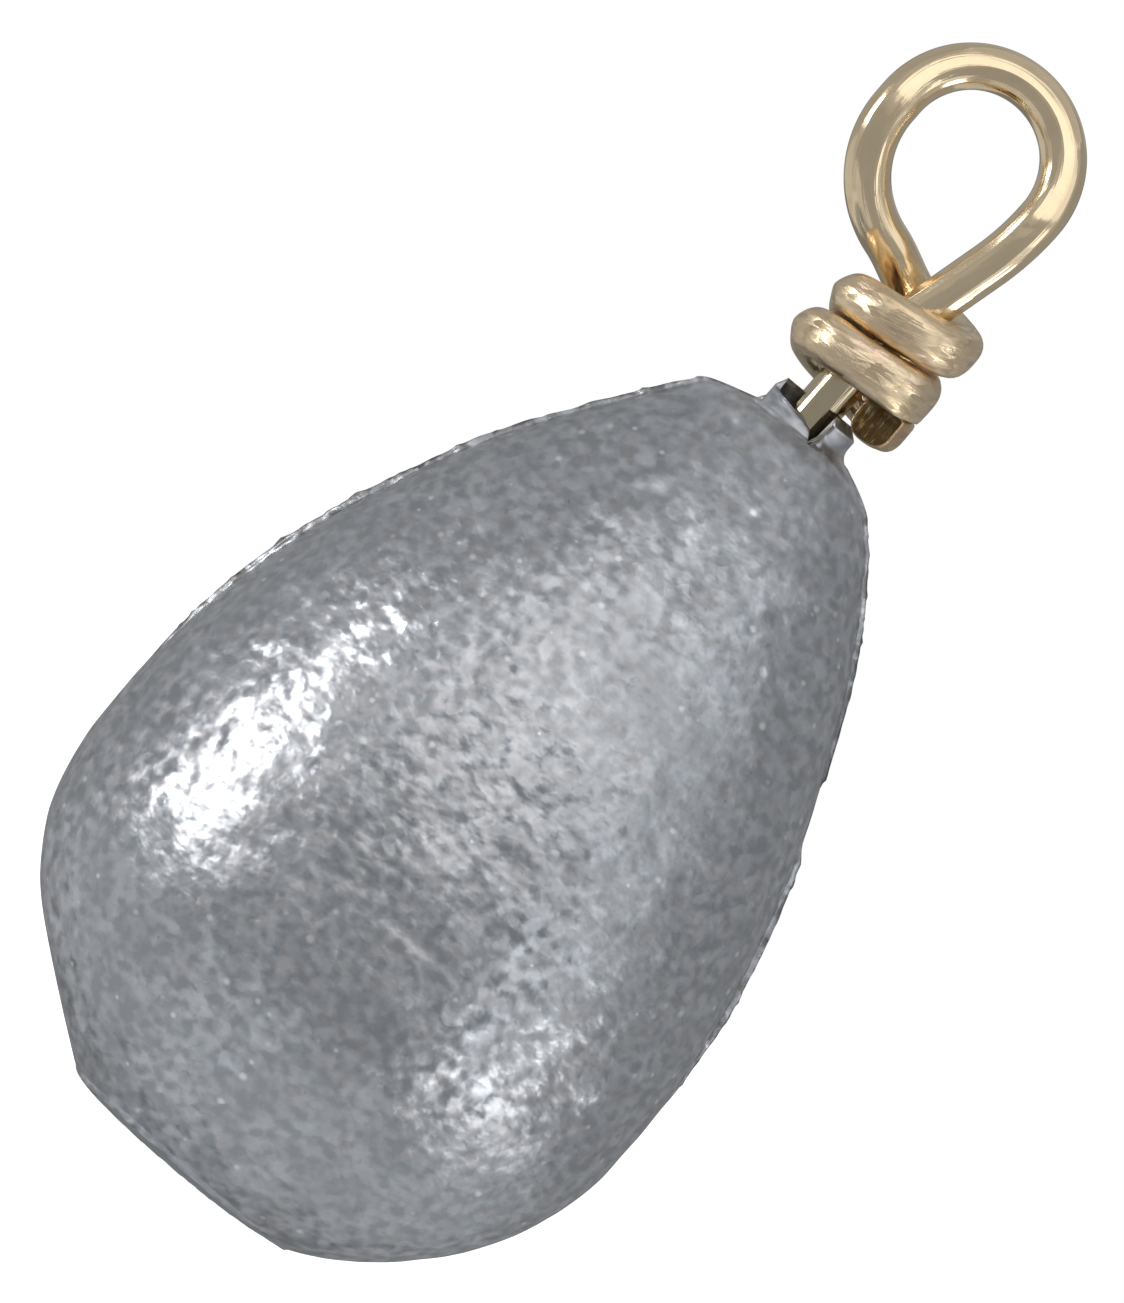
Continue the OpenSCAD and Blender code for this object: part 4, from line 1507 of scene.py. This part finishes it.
class SINKER_OT_stage(bpy.types.Operator):
    """Sets up the camera, the lamps, the white floor and the white background"""
    bl_idname = "sinker.stage"
    bl_label = "Stage"

    def execute(self, context):
        s = context.scene.sinker_stage
        self.set_camera(context, s)
        self.set_lamps(context, s)
        self.set_floor(s)
        self.set_world(context, s)
        context.scene.view_settings.view_transform = "Standard"
        return {"FINISHED"}

    def set_camera(self, context, s):
        """A far camera that looks straight at the sinker's front, turned about its own view."""
        camera = bpy.data.cameras.new("camera")
        camera.lens = camera.sensor_width * s.distance / s.frame_height
        camera.clip_start = 0.05
        camera.clip_end = 10
        holder = bpy.data.objects.new("camera", camera)
        right = Vector((math.cos(s.roll), 0, math.sin(s.roll)))
        up = Vector((-math.sin(s.roll), 0, math.cos(s.roll)))
        turn = Matrix((right, up, Vector((0, -1, 0)))).transposed().to_4x4()
        turn.translation = (-s.view_side, -s.distance, s.view_height)
        holder.matrix_world = turn
        context.scene.collection.objects.link(holder)
        context.scene.camera = holder

    def set_lamps(self, context, s):
        """Two soft lamps, and the windows and cards that the metal shows."""
        add_lamp(context, "left_lamp", -70, 30, 0.16, s.lamps * 1.5)
        add_lamp(context, "top_lamp", 10, 60, 0.2, s.lamps)
        for name, azimuths, elevations, level in (
                ("left_window", (-81, -65), (-11, 11), s.key),
                ("right_window", (70, 92), (-24, -6), s.kicker),
                ("top_window", (-45, 34), (20, 52), s.top)):
            add_card(name, azimuths, elevations, WINDOW_DISTANCE, level, DAYLIGHT)
        for number, (azimuths, elevations, level) in enumerate(GREY_CARDS):
            add_card("grey_card_%d" % number, azimuths, elevations, CARD_DISTANCE, level)

    def set_floor(self, s):
        """A white floor that takes the lamps' light and glows of itself where it is looked at."""
        material = bpy.data.materials.new("white_floor")
        tree = emptied(material)
        paint = add(tree, "ShaderNodeBsdfDiffuse", {"Color": rgba(s.floor)}).outputs[0]
        glow = add(tree, "ShaderNodeEmission", {
            "Color": WHITE, "Strength": times(tree, seen_rays(tree), FLOOR_GLOW)}).outputs[0]
        both = add(tree, "ShaderNodeAddShader", {0: paint, 1: glow}).outputs[0]
        add(tree, "ShaderNodeOutputMaterial", {0: both})
        corners = [(side * FLOOR_REACH, depth * FLOOR_REACH, -FLOOR_DEPTH)
                   for side, depth in ((-1, -1), (1, -1), (1, 1), (-1, 1))]
        floor = new_piece("floor", corners, [(0, 1, 2, 3)], (material,))
        # The metal shows the white background and the cards there, and not the floor that would hide them
        floor.visible_glossy = False
        floor.visible_shadow = False

    def set_world(self, context, s):
        """A background that the camera and reflections see white, and that lights the metal evenly."""
        world = bpy.data.worlds.new("white_world")
        tree = emptied(world)
        strength = ranged(tree, seen_rays(tree), 0.0, 1.0, s.fill, 1.0)
        glow = add(tree, "ShaderNodeBackground", {"Color": WHITE, "Strength": strength})
        add(tree, "ShaderNodeOutputWorld", {0: glow.outputs[0]})
        context.scene.world = world


class SINKER_PT_panel(bpy.types.Panel):
    """Lists what the sinker is made of"""
    bl_idname = "SINKER_PT_panel"
    bl_label = "Casting Sinker"
    bl_space_type = "VIEW_3D"
    bl_region_type = "UI"
    bl_category = "Sinker"

    def draw(self, context):
        for operator, settings in (
                ("sinker.casting", context.scene.sinker_casting),
                ("sinker.wire", context.scene.swivel_wire),
                ("sinker.stage", context.scene.sinker_stage)):
            box = self.layout.box()
            box.operator(operator)
            for name in settings.bl_rna.properties.keys():
                if name not in ("rna_type", "name"):
                    box.prop(settings, name)


CLASSES = (CastingSettings, WireSettings, StageSettings, SINKER_OT_casting, SINKER_OT_wire, SINKER_OT_stage,
           SINKER_PT_panel)


def register():
    for item in CLASSES:
        bpy.utils.register_class(item)
    bpy.types.Scene.sinker_casting = bpy.props.PointerProperty(type=CastingSettings)
    bpy.types.Scene.swivel_wire = bpy.props.PointerProperty(type=WireSettings)
    bpy.types.Scene.sinker_stage = bpy.props.PointerProperty(type=StageSettings)


def unregister():
    for name in ("sinker_casting", "swivel_wire", "sinker_stage"):
        delattr(bpy.types.Scene, name)
    for item in reversed(CLASSES):
        bpy.utils.unregister_class(item)


def main():
    register()
    bpy.ops.sinker.casting()
    bpy.ops.sinker.wire()
    bpy.ops.sinker.stage()


if __name__ == "__main__":
    main()
